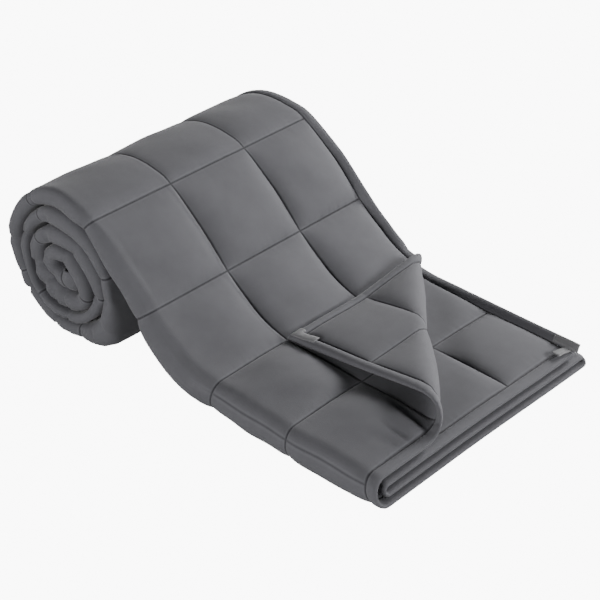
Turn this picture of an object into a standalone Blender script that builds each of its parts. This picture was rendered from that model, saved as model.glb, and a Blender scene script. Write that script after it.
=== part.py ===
"""Weighted blanket: a square-quilted filled cloth, folded in four and rolled up.

The blanket is first drawn flat, with its quilting raised, in its own
coordinates: u runs down its length from the end that lies open, v across its
width and w through its thickness.  It is then folded twice across the width,
into four layers, its top corner is turned back, and the pack is laid along a
path that starts flat on the floor, climbs a slope and winds into a roll.

In the finished part +X points along the open end, +Y to the back, +Z up.
"""
import math

import bmesh
import bpy
from mathutils import Vector

# ---------------------------------------------------------------- driving sizes
CELL = 0.127                # one sewn square, flat
COLUMNS = 12                # squares across the width, three in each layer
ROWS = 14                   # squares down the length
HEM = 0.015                 # plain hem outside the last seam
WIDTH = COLUMNS * CELL
LENGTH = ROWS * CELL
HEM_ROWS = HEM / CELL       # the hem's width, in squares

SEAM_HALF = 0.0012          # half thickness of the cloth at a seam
HEM_HALF = 0.0014           # half thickness of a hem
LAYER_GAP = 0.0005          # half of the space between two layers
PUFF_POWER = 0.42           # under 1, so a square is plump right up to its seams

# how far the faces that nothing presses on stand out from the seams
PUFF_OPEN = 0.0085          # top of the open end
PUFF_FLAP = 0.0060          # lining side of the turned corner
PUFF_SECOND = 0.0060        # second layer, where the corner uncovers it
PUFF_ROLL = 0.0042          # outside of the roll
PUFF_UNDER = 0.0062         # underside of the open end, flattened by the floor
PUFF_CREASE = 0.0030        # top of the open end where the corner turns back
PUFF_COVERED = 0.6          # part of PUFF_OPEN that is left below the turned corner

# where one thickness gives way to another: squares from the open end ...
OPEN_TO_ROLL = (2.6, 4.2)
FLOOR_TO_ROLL = (2.9, 3.5)
# ... turns from the top of the roll, and metres past the line where the corner turns
ROLL_COVERED = (0.62, 0.74)
FLAP_RISES = (0.0, 0.05)
FLAP_CREASE = (-0.03, 0.0)
FLAP_COVERS = (0.0, -0.03)
FLAP_ENDS = (-0.22, -0.17)
ROLL_STARTS = -0.05         # turns from the top at which all layers lie equally close

# the sizes below are laid out from the first crossing of seams on the open end,
# and the finished part is moved so that its origin is under its middle
MIDDLE_X = -0.1645
MIDDLE_Y = -0.060

# ---------------------------------------------------------------- the fold
NOSE_Y = -0.2555            # outside of the near fold
FAR_Y = 0.128               # outside of the far fold
# where the seams between the squares lie in each layer, from one side to the other
LAYER_SEAMS = (
    # level, y at the first, second, third and last seam or fold
    (3, (0.127, 0.0, -0.127, None)),
    (0, (None, -0.127, -0.001, FAR_Y)),
    (1, (FAR_Y, -0.001, -0.126, None)),
    (2, (None, -0.126, 0.0, 0.127)),
)
STAGGER = 0.0145            # the lowest layer's open end reaches this far past the top's
STAGGER_NEAR = 0.72         # part of that at the near side
STAGGER_ROWS = 2.5          # squares from the open end over which it fades
# how far the far side of the pack drifts outwards, by rows from the open end
DRIFT = ((0.0, -0.001), (1.8, 0.001), (2.6, 0.009), (3.5, 0.006), (4.4, -0.005), (5.0, -0.006))
HEM_LIFT_DEG = 33.0         # how steeply the second layer's hem stands up where it lies free
HEM_LIFT_ROWS = (2.3, 0.8)  # squares from the open end over which it rises to that
NEAR_SIDE = (-0.130, 0.120)  # -y over which the spacing goes from the far side's to the near's

# ---------------------------------------------------------------- the path
ROLL_X = -0.3655            # centre of the roll
ROLL_Z = 0.0946
BASE_Z = 0.0052             # seams of the lowest layer over the floor
# open end and slope, along the seams of the lowest layer
SLOPE = (
    # x, z, layer spacing at the near side, at the far side
    (0.127, BASE_Z, 0.0112, 0.0074),
    (0.064, BASE_Z, 0.0118, 0.0078),
    (0.000, BASE_Z, 0.0120, 0.0082),
    (-0.060, BASE_Z, 0.0120, 0.0092),
    (-0.112, BASE_Z, 0.0120, 0.0104),
    (-0.152, 0.0102, 0.0121, 0.0112),
    (-0.187, 0.0235, 0.0121, 0.0114),
    (-0.218, 0.0450, 0.0120, 0.0112),
    (-0.247, 0.0760, 0.0106, 0.0102),
    (-0.280, 0.1190, 0.0078, 0.0078),
)
# x of the lowest layer's seams where the first five rows start
ROW_X = (0.127, 0.0, -0.118, -0.243, -0.3226)
# outside of the roll, a line for each quarter turn from its top
ROLL = (
    # turns, distance from the centre
    (-0.25, 0.1050), (0.00, 0.0990), (0.25, 0.1030), (0.50, 0.0975),
    (0.75, 0.0775), (1.00, 0.0760), (1.25, 0.0812), (1.50, 0.0746),
    (1.75, 0.0530), (2.00, 0.0530), (2.25, 0.0612), (2.50, 0.0545),
    (2.75, 0.0315), (3.00, 0.0310), (3.25, 0.0410), (3.50, 0.0340),
    (3.75, 0.0030), (4.00, 0.0030), (4.25, 0.0100), (4.50, 0.0040),
    (4.75, -0.0150),
)
SAG = 0.022                 # bulge of the first turn where it sits on the floor
SAG_AT = 0.595              # turns
SAG_WIDE = 0.070
TURN_GAP = 0.0016           # space between two turns
ROLL_STEPS = 15             # rows of faces in a turn
FIRST_ROW_DEG = -33.0       # where the slope meets the roll, from its top
LAST_TURN = 3.62            # the inner end
PACED_OUTSIDE = (0.0, 1.0)  # turns over which rows go over from the outer layer's length
#                             to the middle layers'

# ---------------------------------------------------------------- turned corner
CURL_MIDDLE = 0.0125        # radius of the turn at its middle
CURL_FAR = 0.0115           # at the far edge
CURL_END = 0.0185           # at the open end
FLAP_GAP = 0.0016           # turned corner over the layer below it
FLAP_FALL = 0.055           # distance over which it comes down from the turn
CURL_NEAR_MIDDLE = 0.04     # along the fold line, where the radius starts to grow
CURL_FULL = 0.18            # and where it has reached that of the end or the far edge
CORNER_SQUARES = 2.6        # the corner bends inside this many squares each way
CURL_MARGIN = 0.004         # edges reach this far past the bend
CURL_STEPS = 7

# ---------------------------------------------------------------- face counts
# faces across a square: on the side that is on top in the first layer, its flat
# part and its fold, and the same on the other side
COLUMN_STEPS = (
    (4, 0, 4, 0), (4, 0, 4, 0), (3, 3, 2, 2),
    (3, 3, 1, 2), (3, 0, 1, 0), (3, 2, 1, 1),
    (1, 2, 1, 1), (1, 0, 1, 0), (1, 1, 1, 2),
    (1, 1, 2, 2), (1, 0, 3, 0), (1, 0, 3, 0),
)
ROW_STEPS = 4               # rows of faces in a square of the open end
SEAM_PULL = 0.045           # how far their edges are drawn towards the seams
ROW_SLIVER = 0.01           # no row of faces is narrower than this, in squares
COLUMN_SLIVER = 0.0004      # columns of the two sides closer than this are one
CUT_SNAP = 0.0022           # the corner's edges snap to points closer than this
HAIR = 1e-6

# ---------------------------------------------------------------- fabric loops
TAPE_WIDTH = 0.0110
TAPE_THICK = 0.0009
TAPE_INSET = 0.0018         # from the edge of the hem
TAPE_LEGS = (
    # name, far edge of the cloth, how far the tape reaches past the open end, lengths of its
    # legs along the long hem and the open end, space under it, rise of its second leg's end
    ("loop_turned_corner", False, 0.0, 0.0160, 0.0290, 0.0001, 0.0026),
    ("loop_second_layer", True, 0.0090, 0.0160, 0.0280, 0.0003, 0.0034),
)
TAPE_STEPS = 4

# ---------------------------------------------------------------- finish
SHARP_DEG = 40.0
CLOTH_COLOUR = (0.105, 0.105, 0.112)
CLOTH_ROUGHNESS = 0.62
CLOTH_SHEEN = 0.25
TAPE_COLOUR = (0.120, 0.120, 0.126)
TAPE_ROUGHNESS = 0.70
TAPE_SHEEN = 0.10


# ================================================================ small helpers
def smooth(value, low, high):
    """Ease from 0 at low to 1 at high."""
    t = min(1.0, max(0.0, (value - low) / (high - low)))
    return t * t * (3.0 - 2.0 * t)


def lerp(a, b, t):
    return a + (b - a) * t


def look_up(table, x):
    """Straight lines through a table's (x, y) rows."""
    if x <= table[0][0]:
        return table[0][1]
    for (x0, y0), (x1, y1) in zip(table, table[1:]):
        if x <= x1:
            return lerp(y0, y1, (x - x0) / (x1 - x0))
    return table[-1][1]


def curve_through(table, x):
    """A smooth curve through evenly spaced (x, y) rows."""
    step = table[1][0] - table[0][0]
    place = (x - table[0][0]) / step
    i = min(max(int(math.floor(place)), 1), len(table) - 3)
    t = place - i
    y0, y1, y2, y3 = (table[i + k][1] for k in (-1, 0, 1, 2))
    return 0.5 * (2 * y1 + (y2 - y0) * t + (2 * y0 - 5 * y1 + 4 * y2 - y3) * t * t
                  + (3 * y1 - y0 - 3 * y2 + y3) * t ** 3)


# ================================================================ the path
def roll_outside(turns):
    """Outside of the roll from its centre, flattened by the floor under it."""
    radius = curve_through(ROLL, turns)
    if turns < 1.0:
        radius += SAG * math.exp(-((turns - SAG_AT) / SAG_WIDE) ** 2)
    down = -math.sin(math.radians(90.0) + turns * 2.0 * math.pi)
    if down > 0.0:
        radius = min(radius, ROLL_Z / down)
    return radius


def roll_pitch(turns):
    """Distance between one turn and the next."""
    return roll_outside(turns) - roll_outside(turns + 1.0)


def roll_layer(turns):
    """Spacing of the four layers in the roll."""
    return (roll_pitch(turns) - TURN_GAP) / 4.0


def roll_point(turns):
    """Seams of the innermost layer: place and layer spacing."""
    spacing = roll_layer(turns)
    radius = roll_outside(turns) - 3.5 * spacing
    angle = math.radians(90.0) + turns * 2.0 * math.pi
    x = ROLL_X + radius * math.cos(angle)
    z = ROLL_Z + radius * math.sin(angle)
    return x, z, spacing, spacing


class Path:
    """The line that the lowest layer's seams follow, from the open end inwards."""

    FINE = 8                # samples between two knots

    def __init__(self):
        knots = [(x, z, near, far, None) for x, z, near, far in SLOPE]
        turns = FIRST_ROW_DEG / 360.0
        while turns < LAST_TURN:
            knots.append(roll_point(turns) + (turns,))
            turns += 1.0 / ROLL_STEPS
        self.sample(knots)
        self.pace()

    def sample(self, knots):
        """Catmull-Rom curve through the knots, with its up-facing normals."""
        self.x, self.z, self.near, self.far, self.turns = [], [], [], [], []
        first = tuple(2 * a - b for a, b in zip(knots[0][:4], knots[1][:4]))
        padded = [first] + [k[:4] for k in knots]
        padded.append(tuple(2 * a - b for a, b in zip(knots[-1][:4], knots[-2][:4])))
        self.knot_at = []
        for i in range(len(knots) - 1):
            self.knot_at.append(len(self.x))
            k0, k1, k2, k3 = padded[i:i + 4]
            start, stop = knots[i][4], knots[i + 1][4]
            for j in range(self.FINE):
                t = j / self.FINE
                values = []
                for a, b, c, d in zip(k0, k1, k2, k3):
                    values.append(0.5 * (2 * b + (c - a) * t + (2 * a - 5 * b + 4 * c - d) * t * t
                                         + (3 * b - a - 3 * c + d) * t ** 3))
                self.x.append(values[0])
                self.z.append(values[1])
                self.near.append(values[2])
                self.far.append(values[3])
                self.turns.append(lerp(start, stop, t) if start is not None else -1.0)
        count = len(self.x)
        self.normal = []
        for i in range(count):
            a = max(i - 1, 0)
            b = min(i + 1, count - 1)
            dx = self.x[b] - self.x[a]
            dz = self.z[b] - self.z[a]
            away_x, away_z = dz, -dx
            if self.turns[i] > -1.0:
                away_x, away_z = self.x[i] - ROLL_X, self.z[i] - ROLL_Z
            size = math.hypot(away_x, away_z)
            self.normal.append((away_x / size, away_z / size))

    def pace(self):
        """Row count at each sample: the outside sets it where it shows, the middle after."""
        length = [0.0]
        for i in range(1, len(self.x)):
            ends = []
            for k in (i - 1, i):
                level = 3.0 - 1.5 * smooth(self.turns[k], *PACED_OUTSIDE)
                offset = level * self.near[k]
                ends.append((self.x[k] + self.normal[k][0] * offset,
                             self.z[k] + self.normal[k][1] * offset))
            length.append(length[-1] + math.hypot(ends[1][0] - ends[0][0], ends[1][1] - ends[0][1]))
        marks = []
        for x in ROW_X:
            marks.append(next(i for i in range(len(self.x)) if self.x[i] <= x + HAIR))
        self.row = []
        for i, done in enumerate(length):
            k = sum(1 for m in marks[1:] if i >= m)
            if k < len(marks) - 1:
                a, b = length[marks[k]], length[marks[k + 1]]
                self.row.append(k + (done - a) / (b - a))
            else:
                self.row.append(k + (done - length[marks[k]]) / CELL)

    def at(self, row):
        """Place, normal and layer spacings at a row count."""
        low, high = 0, len(self.row) - 1
        if row <= self.row[0]:
            high = 1
        elif row >= self.row[-1]:
            low = high - 1
        while high - low > 1:
            middle = (low + high) // 2
            if self.row[middle] <= row:
                low = middle
            else:
                high = middle
        t = (row - self.row[low]) / (self.row[high] - self.row[low])
        x = lerp(self.x[low], self.x[high], t)
        z = lerp(self.z[low], self.z[high], t)
        nx = lerp(self.normal[low][0], self.normal[high][0], t)
        nz = lerp(self.normal[low][1], self.normal[high][1], t)
        size = math.hypot(nx, nz)
        near = lerp(self.near[low], self.near[high], t)
        far = lerp(self.far[low], self.far[high], t)
        turns = lerp(self.turns[low], self.turns[high], t)
        return x, z, nx / size, nz / size, near, far, turns


PATH = Path()


# ================================================================ rows and seams
def roll_rows():
    """Row counts of the faces' edges in the roll, at the same angles in every turn."""
    rows = []
    for i in PATH.knot_at[len(SLOPE):]:
        if PATH.row[i] < ROWS - HEM_ROWS - ROW_SLIVER:
            rows.append(PATH.row[i])
    return rows


def open_rows():
    """Row counts of the faces' edges from the open end to the roll."""
    rows = [0.0, HEM_ROWS]
    for row in range(len(ROW_X) - 1):
        for k in range(ROW_STEPS):
            place = row + plump_step(k, ROW_STEPS)
            if place > HEM_ROWS + ROW_SLIVER:
                rows.append(place)
    return rows


def plump_step(k, count):
    """Parts of a square where its faces meet: closer together by the seams."""
    t = k / count
    return t - SEAM_PULL * math.sin(2.0 * math.pi * t)


ROLL_EDGE = roll_rows()
ROW_EDGES = open_rows() + ROLL_EDGE + [ROWS - HEM_ROWS, float(ROWS)]


def seam_marks():
    """In the roll a cross seam lies on the nearest edge between two rows of faces."""
    marks = [(0.0, 0.0), (HEM_ROWS, 0.0)]
    for row in range(1, len(ROW_X)):
        marks.append((float(row), float(row)))
    for row in range(len(ROW_X), ROWS):
        marks.append((min(ROLL_EDGE, key=lambda r: abs(r - row)), float(row)))
    marks.append((ROWS - HEM_ROWS, float(ROWS)))
    marks.append((float(ROWS), float(ROWS)))
    return marks


ROW_MARKS = seam_marks()
COLUMN_MARKS = ([(0.0, 0.0), (HEM_ROWS, 0.0)] + [(float(k), float(k)) for k in range(1, COLUMNS)]
                + [(COLUMNS - HEM_ROWS, float(COLUMNS)), (float(COLUMNS), float(COLUMNS))])


def crown(u, v):
    """0 at the seams and hems, 1 in the middle of a square."""
    a = look_up(ROW_MARKS, u / CELL) % 1.0
    b = look_up(COLUMN_MARKS, v / CELL) % 1.0
    return max(0.0, math.sin(math.pi * a) * math.sin(math.pi * b)) ** PUFF_POWER


# ================================================================ thickness
def flap_line(u, v):
    """Distance past the line on which the top corner turns back."""
    return (2.0 * CELL - u - v) / math.sqrt(2.0)


def half_thickness(u, v, top):
    """From the middle of the cloth to one of its faces."""
    edge = min(u, v, WIDTH - v, LENGTH - u)
    if edge < HEM - HAIR:
        return HEM_HALF
    near, far, turns = PATH.at(u / CELL)[4:]
    layer = int(min(v / CELL, COLUMNS - HAIR) // 3)
    spacing = near if turns > ROLL_STARTS else lerp(far, near, nearness(section(u, v)[0]))
    pressed = 0.5 * spacing - LAYER_GAP - SEAM_HALF
    puff = pressed
    past = flap_line(u, v)
    if layer == 0 and top:
        free = lerp(PUFF_OPEN, PUFF_ROLL, smooth(u / CELL, *OPEN_TO_ROLL))
        puff = lerp(free, pressed, smooth(turns, *ROLL_COVERED))
        if u < 2.0 * CELL and v < 2.0 * CELL:
            puff = lerp(puff, PUFF_COVERED * PUFF_OPEN, smooth(past, *FLAP_COVERS) * smooth(past, *FLAP_ENDS))
            puff = lerp(puff, PUFF_CREASE, smooth(past, *FLAP_CREASE))
    elif layer == 0:
        puff = lerp(pressed, PUFF_FLAP, smooth(past, *FLAP_RISES))
    elif layer == 1 and top:
        puff = lerp(PUFF_UNDER, pressed, smooth(u / CELL, *FLOOR_TO_ROLL))
    elif layer == 3 and not top:
        puff = lerp(pressed, PUFF_SECOND, smooth(flap_line(u, WIDTH - v), *FLAP_RISES))
    return SEAM_HALF + puff * crown(u, v)


# ================================================================ folding
def nearness(y):
    """0 at the far side of the pack, 1 from its middle to the near side."""
    return smooth(-y, *NEAR_SIDE)


def section(u, v):
    """Folds the width: y, height over the lowest layer, and the direction of the top face."""
    near, far = PATH.at(u / CELL)[4:6]
    column = min(int(v / CELL + HAIR), COLUMNS - 1)
    part = v / CELL - column
    layer, place = divmod(column, 3)
    level, seams = LAYER_SEAMS[layer]
    start, stop = seams[place], seams[place + 1]
    facing = 1.0 if layer % 2 == 0 else -1.0
    if start is None:
        return near_fold(layer, near, far, stop, 1.0 - part)
    if stop is None:
        return near_fold(layer, near, far, start, part)
    if start == FAR_Y:
        return far_fold(layer, near, far, stop, 1.0 - part)
    if stop == FAR_Y:
        return far_fold(layer, near, far, start, part)
    y = lerp(start, stop, part)
    height = level * lerp(far, near, nearness(y))
    out = HEM - (WIDTH - v)
    if out > 0.0:
        lift = math.radians(HEM_LIFT_DEG) * smooth(u / CELL, *HEM_LIFT_ROWS)
        height += out * math.sin(lift)
        y -= out * (1.0 - math.cos(lift))
        return y, height, math.sin(lift), -math.cos(lift)
    return y, height, 0.0, facing


def near_fold(layer, near, far, seam_y, part):
    """A stretch from a seam into a near fold, at a part of its length."""
    radius = (1.5 if layer in (0, 1) else 0.5) * near
    centre_y = NOSE_Y + 1.5 * near
    straight = seam_y - centre_y
    done = part * (straight + 0.5 * math.pi * radius)
    facing = 1.0 if layer in (0, 2) else -1.0
    above = 1.0 if layer in (0, 3) else -1.0
    if done <= straight:
        y = seam_y - done
        spacing = lerp(far, near, nearness(y))
        return y, LAYER_SEAMS[layer][0] * spacing, 0.0, facing
    angle = (done - straight) / radius
    y = centre_y - radius * math.sin(angle)
    height = 1.5 * near + above * radius * math.cos(angle)
    out = facing * above
    return y, height, -out * math.sin(angle), out * above * math.cos(angle)


def far_fold(layer, near, far, seam_y, part):
    """A stretch from a seam into the far fold."""
    radius = 0.5 * far
    centre_y = FAR_Y - radius
    straight = centre_y - seam_y
    done = part * (straight + 0.5 * math.pi * radius)
    facing = 1.0 if layer == 2 else -1.0
    above = 1.0 if layer == 2 else -1.0
    if done <= straight:
        y = seam_y + done
        return y, LAYER_SEAMS[layer][0] * lerp(far, near, nearness(y)), 0.0, facing
    angle = (done - straight) / radius
    y = centre_y + radius * math.sin(angle)
    height = radius + above * radius * math.cos(angle)
    return y, height, math.sin(angle), above * math.cos(angle)


# ================================================================ turned corner
def curl_radius(along):
    """Radius of the corner's turn, along the fold line from the far edge to the end."""
    if along < 0.0:
        return lerp(CURL_MIDDLE, CURL_FAR, smooth(-along, 0.0, CURL_FULL))
    return lerp(CURL_MIDDLE, CURL_END, smooth(along, CURL_NEAR_MIDDLE, CURL_FULL))


def top_level(u, y):
    """Height of the first layer's seams over those of the lowest."""
    near, far = PATH.at(u / CELL)[4:6]
    return 3.0 * lerp(far, near, nearness(y))


def turn_corner(u, v, y, w):
    """Bends the top corner back over the first layer; returns row place, y and height."""
    x = CELL - u
    past = (x + y) / math.sqrt(2.0)
    along = (x - y) / math.sqrt(2.0)
    radius = curl_radius(along)
    start = -0.5 * math.pi * radius
    if past <= start:
        return u, y, top_level(u, y) + w
    turned = (past - start) / radius
    if turned < math.pi:
        bent = start + (radius - w) * math.sin(turned)
        rise = radius - (radius - w) * math.cos(turned)
    else:
        bent = start - (past - start - math.pi * radius)
        seat_x = (bent + along) / math.sqrt(2.0)
        seat_y = (bent - along) / math.sqrt(2.0)
        seat = flap_seat(CELL - seat_x, CELL - seat_y, u, v)
        down = smooth(start - bent, 0.0, FLAP_FALL)
        rise = lerp(2.0 * radius, seat, down) - w
    new_x = (bent + along) / math.sqrt(2.0)
    new_y = (bent - along) / math.sqrt(2.0)
    return CELL - new_x, new_y, top_level(CELL - new_x, new_y) + rise


def flap_seat(under_u, under_v, u, v):
    """Height of the turned corner's seams over those of the layer that it lies on."""
    below = half_thickness(max(under_u, HEM), max(under_v, HEM), True)
    own = half_thickness(u, v, True)
    return below + own + FLAP_GAP


def place_point(u, v, w):
    """A point of the flat blanket, where it lies in the folded and rolled one."""
    y, height, ny, nh = section(u, v)
    path_u = u
    in_corner = max(u, v) < CORNER_SQUARES * CELL and flap_line(u, v) > -0.5 * math.pi * CURL_END
    if in_corner:
        path_u, y, height = turn_corner(u, v, y, w * nh)
    else:
        y += ny * w
        height += nh * w
    path_u -= stagger(u, y, height)
    x, z, nx, nz = PATH.at(path_u / CELL)[:4]
    y += look_up(DRIFT, path_u / CELL) * (y - NOSE_Y) / (LAYER_SEAMS[0][1][0] - NOSE_Y)
    return Vector((x + nx * height - MIDDLE_X, y - MIDDLE_Y, max(0.0, z + nz * height)))


def stagger(u, y, height):
    """How far a layer slips towards the open end: most in the lowest, at the far side."""
    low = 1.0 - min(1.0, max(0.0, height / top_level(u, y)))
    return STAGGER * low * lerp(1.0, STAGGER_NEAR, nearness(y)) * smooth(u / CELL, STAGGER_ROWS, 0.0)


# ================================================================ the flat blanket
def fold_share(u, square):
    """Part of a square that lies in the fold beside it."""
    near, far = PATH.at(u / CELL)[4:6]
    layer, place = divmod(square, 3)
    if place == 1:
        return 0.0
    seams = LAYER_SEAMS[layer][1]
    if FAR_Y in (seams[place], seams[place + 1]):
        radius = 0.5 * far
        straight = FAR_Y - radius - seams[2 if layer == 1 else 1]
    elif None in (seams[place], seams[place + 1]):
        radius = (1.5 if layer in (0, 1) else 0.5) * near
        straight = seams[1 if layer in (1, 3) else 2] - NOSE_Y - 1.5 * near
    else:
        return 0.0
    return 0.5 * math.pi * radius / (straight + 0.5 * math.pi * radius)


def square_parts(u, square, side):
    """Where the faces meet in a square, as parts of it."""
    flat, fold = COLUMN_STEPS[square][2 * side:2 * side + 2]
    share = fold_share(u, square)
    parts = [(1.0 - share) * k / flat for k in range(flat)]
    parts += [1.0 - share + share * k / fold for k in range(fold)]
    if square % 3 == 0 and fold:
        parts = [0.0] + [1.0 - part for part in parts[:0:-1]]
    return parts


def column_edges(u, side):
    """v of the faces' edges on one side of the cloth."""
    edges = [0.0]
    for square in range(COLUMNS):
        for part in square_parts(u, square, side):
            place = (square + part) * CELL
            if HEM < place < WIDTH - HEM:
                edges.append(place)
    edges.insert(1, HEM)
    return edges + [WIDTH - HEM, WIDTH]


def shared_edges(u):
    """Columns of both sides together, with the places that each side's own columns take."""
    own = [column_edges(u, side) for side in (0, 1)]
    both = []
    for v in sorted(own[0] + own[1]):
        if not both or v - both[-1] > COLUMN_SLIVER:
            both.append(v)
    places = []
    for edges in own:
        places.append([min(range(len(both)), key=lambda k: abs(both[k] - v)) for v in edges])
    return both, places


def flat_blanket():
    """A closed flat mesh with the quilting raised on both sides."""
    mesh = bmesh.new()
    ends = (0, len(ROW_EDGES) - 1)
    grids = []
    for side in (0, 1):
        sign = 1.0 if side == 0 else -1.0
        grid = []
        for i, row in enumerate(ROW_EDGES):
            u = row * CELL
            edges = shared_edges(u)[0] if i in ends else column_edges(u, side)
            grid.append([mesh.verts.new((u, v, sign * half_thickness(u, v, side == 0))) for v in edges])
        grids.append(grid)
    for side, grid in enumerate(grids):
        for i in range(len(grid) - 1):
            low_at, high_at = (shared_edges(ROW_EDGES[k] * CELL)[1][side] if k in ends else None
                               for k in (i, i + 1))
            for k in range(len(grid[1]) - 1):
                low = grid[i][low_at[k]:low_at[k + 1] + 1] if low_at else grid[i][k:k + 2]
                high = grid[i + 1][high_at[k]:high_at[k + 1] + 1] if high_at else grid[i + 1][k:k + 2]
                corners = low[:1] + high + low[:0:-1]
                mesh.faces.new(corners if side == 0 else corners[::-1])
    top, bottom = grids
    for i in range(len(top) - 1):
        mesh.faces.new((top[i + 1][0], top[i][0], bottom[i][0], bottom[i + 1][0]))
        mesh.faces.new((top[i][-1], top[i + 1][-1], bottom[i + 1][-1], bottom[i][-1]))
    for k in range(len(top[0]) - 1):
        mesh.faces.new((top[0][k], top[0][k + 1], bottom[0][k + 1], bottom[0][k]))
    for k in range(len(top[-1]) - 1):
        mesh.faces.new((top[-1][k + 1], top[-1][k], bottom[-1][k], bottom[-1][k + 1]))
    return mesh


def cut_for_corner(mesh):
    """Edges along the turned corner's fold, so that it can bend there."""
    reach = 0.5 * math.pi * CURL_END + CURL_MARGIN
    for k in range(CURL_STEPS + 1):
        past = lerp(-reach, reach, k / CURL_STEPS)
        parts = set()
        for face in mesh.faces:
            if max(face.calc_center_median().xy) < CORNER_SQUARES * CELL:
                parts.update([face], face.edges, face.verts)
        middle = CELL - past / math.sqrt(2.0)
        bmesh.ops.bisect_plane(mesh, geom=list(parts), dist=CUT_SNAP,
                               plane_co=(middle, middle, 0.0), plane_no=(1.0, 1.0, 0.0))


def slab(cells, faces_of):
    """A closed sheet over flat rectangles; faces_of gives its lower and upper w at a place."""
    mesh = bmesh.new()
    verts = {}
    sides = {}
    for u0, u1, v0, v1 in cells:
        corners = ((u0, v0), (u1, v0), (u1, v1), (u0, v1))
        for place in corners:
            if place not in verts:
                verts[place] = [mesh.verts.new((*place, w)) for w in faces_of(*place)]
        mesh.faces.new([verts[place][1] for place in corners])
        mesh.faces.new([verts[place][0] for place in corners[::-1]])
        for a, b in zip(corners, corners[1:] + corners[:1]):
            if (b, a) in sides:
                del sides[(b, a)]
            else:
                sides[(a, b)] = True
    for a, b in sides:
        mesh.faces.new((verts[a][0], verts[b][0], verts[b][1], verts[a][1]))
    return mesh


def loop_cells(far_edge, reach, long_leg, end_leg):
    """Rectangles of an L-shaped tape: one leg along the long hem, one along the open end."""
    inner = TAPE_INSET + TAPE_WIDTH
    down = [inner + long_leg * k / TAPE_STEPS for k in range(TAPE_STEPS + 1)]
    over = [inner + end_leg * k / TAPE_STEPS for k in range(TAPE_STEPS + 1)]
    cells = [(TAPE_INSET, inner, TAPE_INSET, inner)]
    if reach > 0.0:
        cells.append((-reach, TAPE_INSET, TAPE_INSET, inner))
    cells += [(u0, u1, TAPE_INSET, inner) for u0, u1 in zip(down, down[1:])]
    cells += [(TAPE_INSET, inner, v0, v1) for v0, v1 in zip(over, over[1:])]
    if far_edge:
        cells = [(u0, u1, WIDTH - v1, WIDTH - v0) for u0, u1, v0, v1 in cells]
    return cells


def make_loop(name, far_edge, reach, long_leg, end_leg, space, rise, material):
    inner = TAPE_INSET + TAPE_WIDTH

    def faces_of(u, v):
        from_edge = WIDTH - v if far_edge else v
        lifted = rise * smooth(from_edge, inner, inner + end_leg)
        upper = -(HEM_HALF + space + lifted)
        return upper - TAPE_THICK, upper

    mesh = slab(loop_cells(far_edge, reach, long_leg, end_leg), faces_of)
    bmesh.ops.triangulate(mesh, faces=mesh.faces[:])
    for vert in mesh.verts:
        vert.co = place_point(*vert.co)
    return make_object(name, mesh, material)


def make_material(name, colour, roughness, sheen):
    material = bpy.data.materials.new(name)
    material.use_nodes = True
    shader = material.node_tree.nodes["Principled BSDF"]
    shader.inputs["Base Color"].default_value = (*colour, 1.0)
    shader.inputs["Roughness"].default_value = roughness
    shader.inputs["Metallic"].default_value = 0.0
    shader.inputs["Sheen Weight"].default_value = sheen
    return material


def make_object(name, mesh, material):
    data = bpy.data.meshes.new(name)
    mesh.to_mesh(data)
    mesh.free()
    data.materials.append(material)
    data.shade_smooth()
    data.set_sharp_from_angle(angle=math.radians(SHARP_DEG))
    piece = bpy.data.objects.new(name, data)
    bpy.context.scene.collection.objects.link(piece)
    return piece


def make_quilt(material):
    mesh = flat_blanket()
    cut_for_corner(mesh)
    bmesh.ops.triangulate(mesh, faces=mesh.faces[:])
    for vert in mesh.verts:
        vert.co = place_point(*vert.co)
    return make_object("quilt", mesh, material)


def main():
    for old in list(bpy.data.objects):
        bpy.data.objects.remove(old, do_unlink=True)
    cloth = make_material("grey_cloth", CLOTH_COLOUR, CLOTH_ROUGHNESS, CLOTH_SHEEN)
    tape = make_material("grey_tape", TAPE_COLOUR, TAPE_ROUGHNESS, TAPE_SHEEN)
    make_quilt(cloth)
    for sizes in TAPE_LEGS:
        make_loop(*sizes, tape)


main()
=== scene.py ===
# %% [markdown]
# # A weighted blanket, folded in four and rolled up
#
# The real thing is one large quilt. Two layers of brushed microfibre hold
# small pockets of beads, and seams through both layers keep the beads in
# squares of five inches. It lies as it would in a shop window: folded in four
# across its width, then rolled from one end, with one corner turned back.
#
# The whole cloth is made as one closed mesh. It is drawn flat first, with u
# running down its length from the open end, v across its width, and w up from
# the middle of the cloth towards side A, the upper side of the first layer.
# Every point is then carried through the same three steps: the fold, the
# turned corner and the path of the roll. Lengths along the cloth stay true that
# way, so each seam ends up where the real cloth would put it.

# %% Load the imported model
import math

import bpy
import numpy as np
from mathutils import Matrix


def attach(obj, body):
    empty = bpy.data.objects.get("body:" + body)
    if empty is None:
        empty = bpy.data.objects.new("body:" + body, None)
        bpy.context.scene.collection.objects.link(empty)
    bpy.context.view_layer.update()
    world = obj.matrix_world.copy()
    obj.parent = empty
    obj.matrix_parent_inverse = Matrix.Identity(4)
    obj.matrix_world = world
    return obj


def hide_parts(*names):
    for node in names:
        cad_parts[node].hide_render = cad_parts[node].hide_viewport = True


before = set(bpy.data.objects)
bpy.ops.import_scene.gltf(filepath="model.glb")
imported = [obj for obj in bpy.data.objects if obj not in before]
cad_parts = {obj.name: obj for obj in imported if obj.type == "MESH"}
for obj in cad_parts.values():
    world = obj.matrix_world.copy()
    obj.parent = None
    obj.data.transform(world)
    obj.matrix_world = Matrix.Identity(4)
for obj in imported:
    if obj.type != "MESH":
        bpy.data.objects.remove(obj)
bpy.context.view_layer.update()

# %% [markdown]
# The camera comes first, so that every later cell can be looked at. It stands
# where the photograph was taken from, with a long lens. A camera and a lamp
# both look along their own -Z, so one helper builds the matrix of either.

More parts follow.
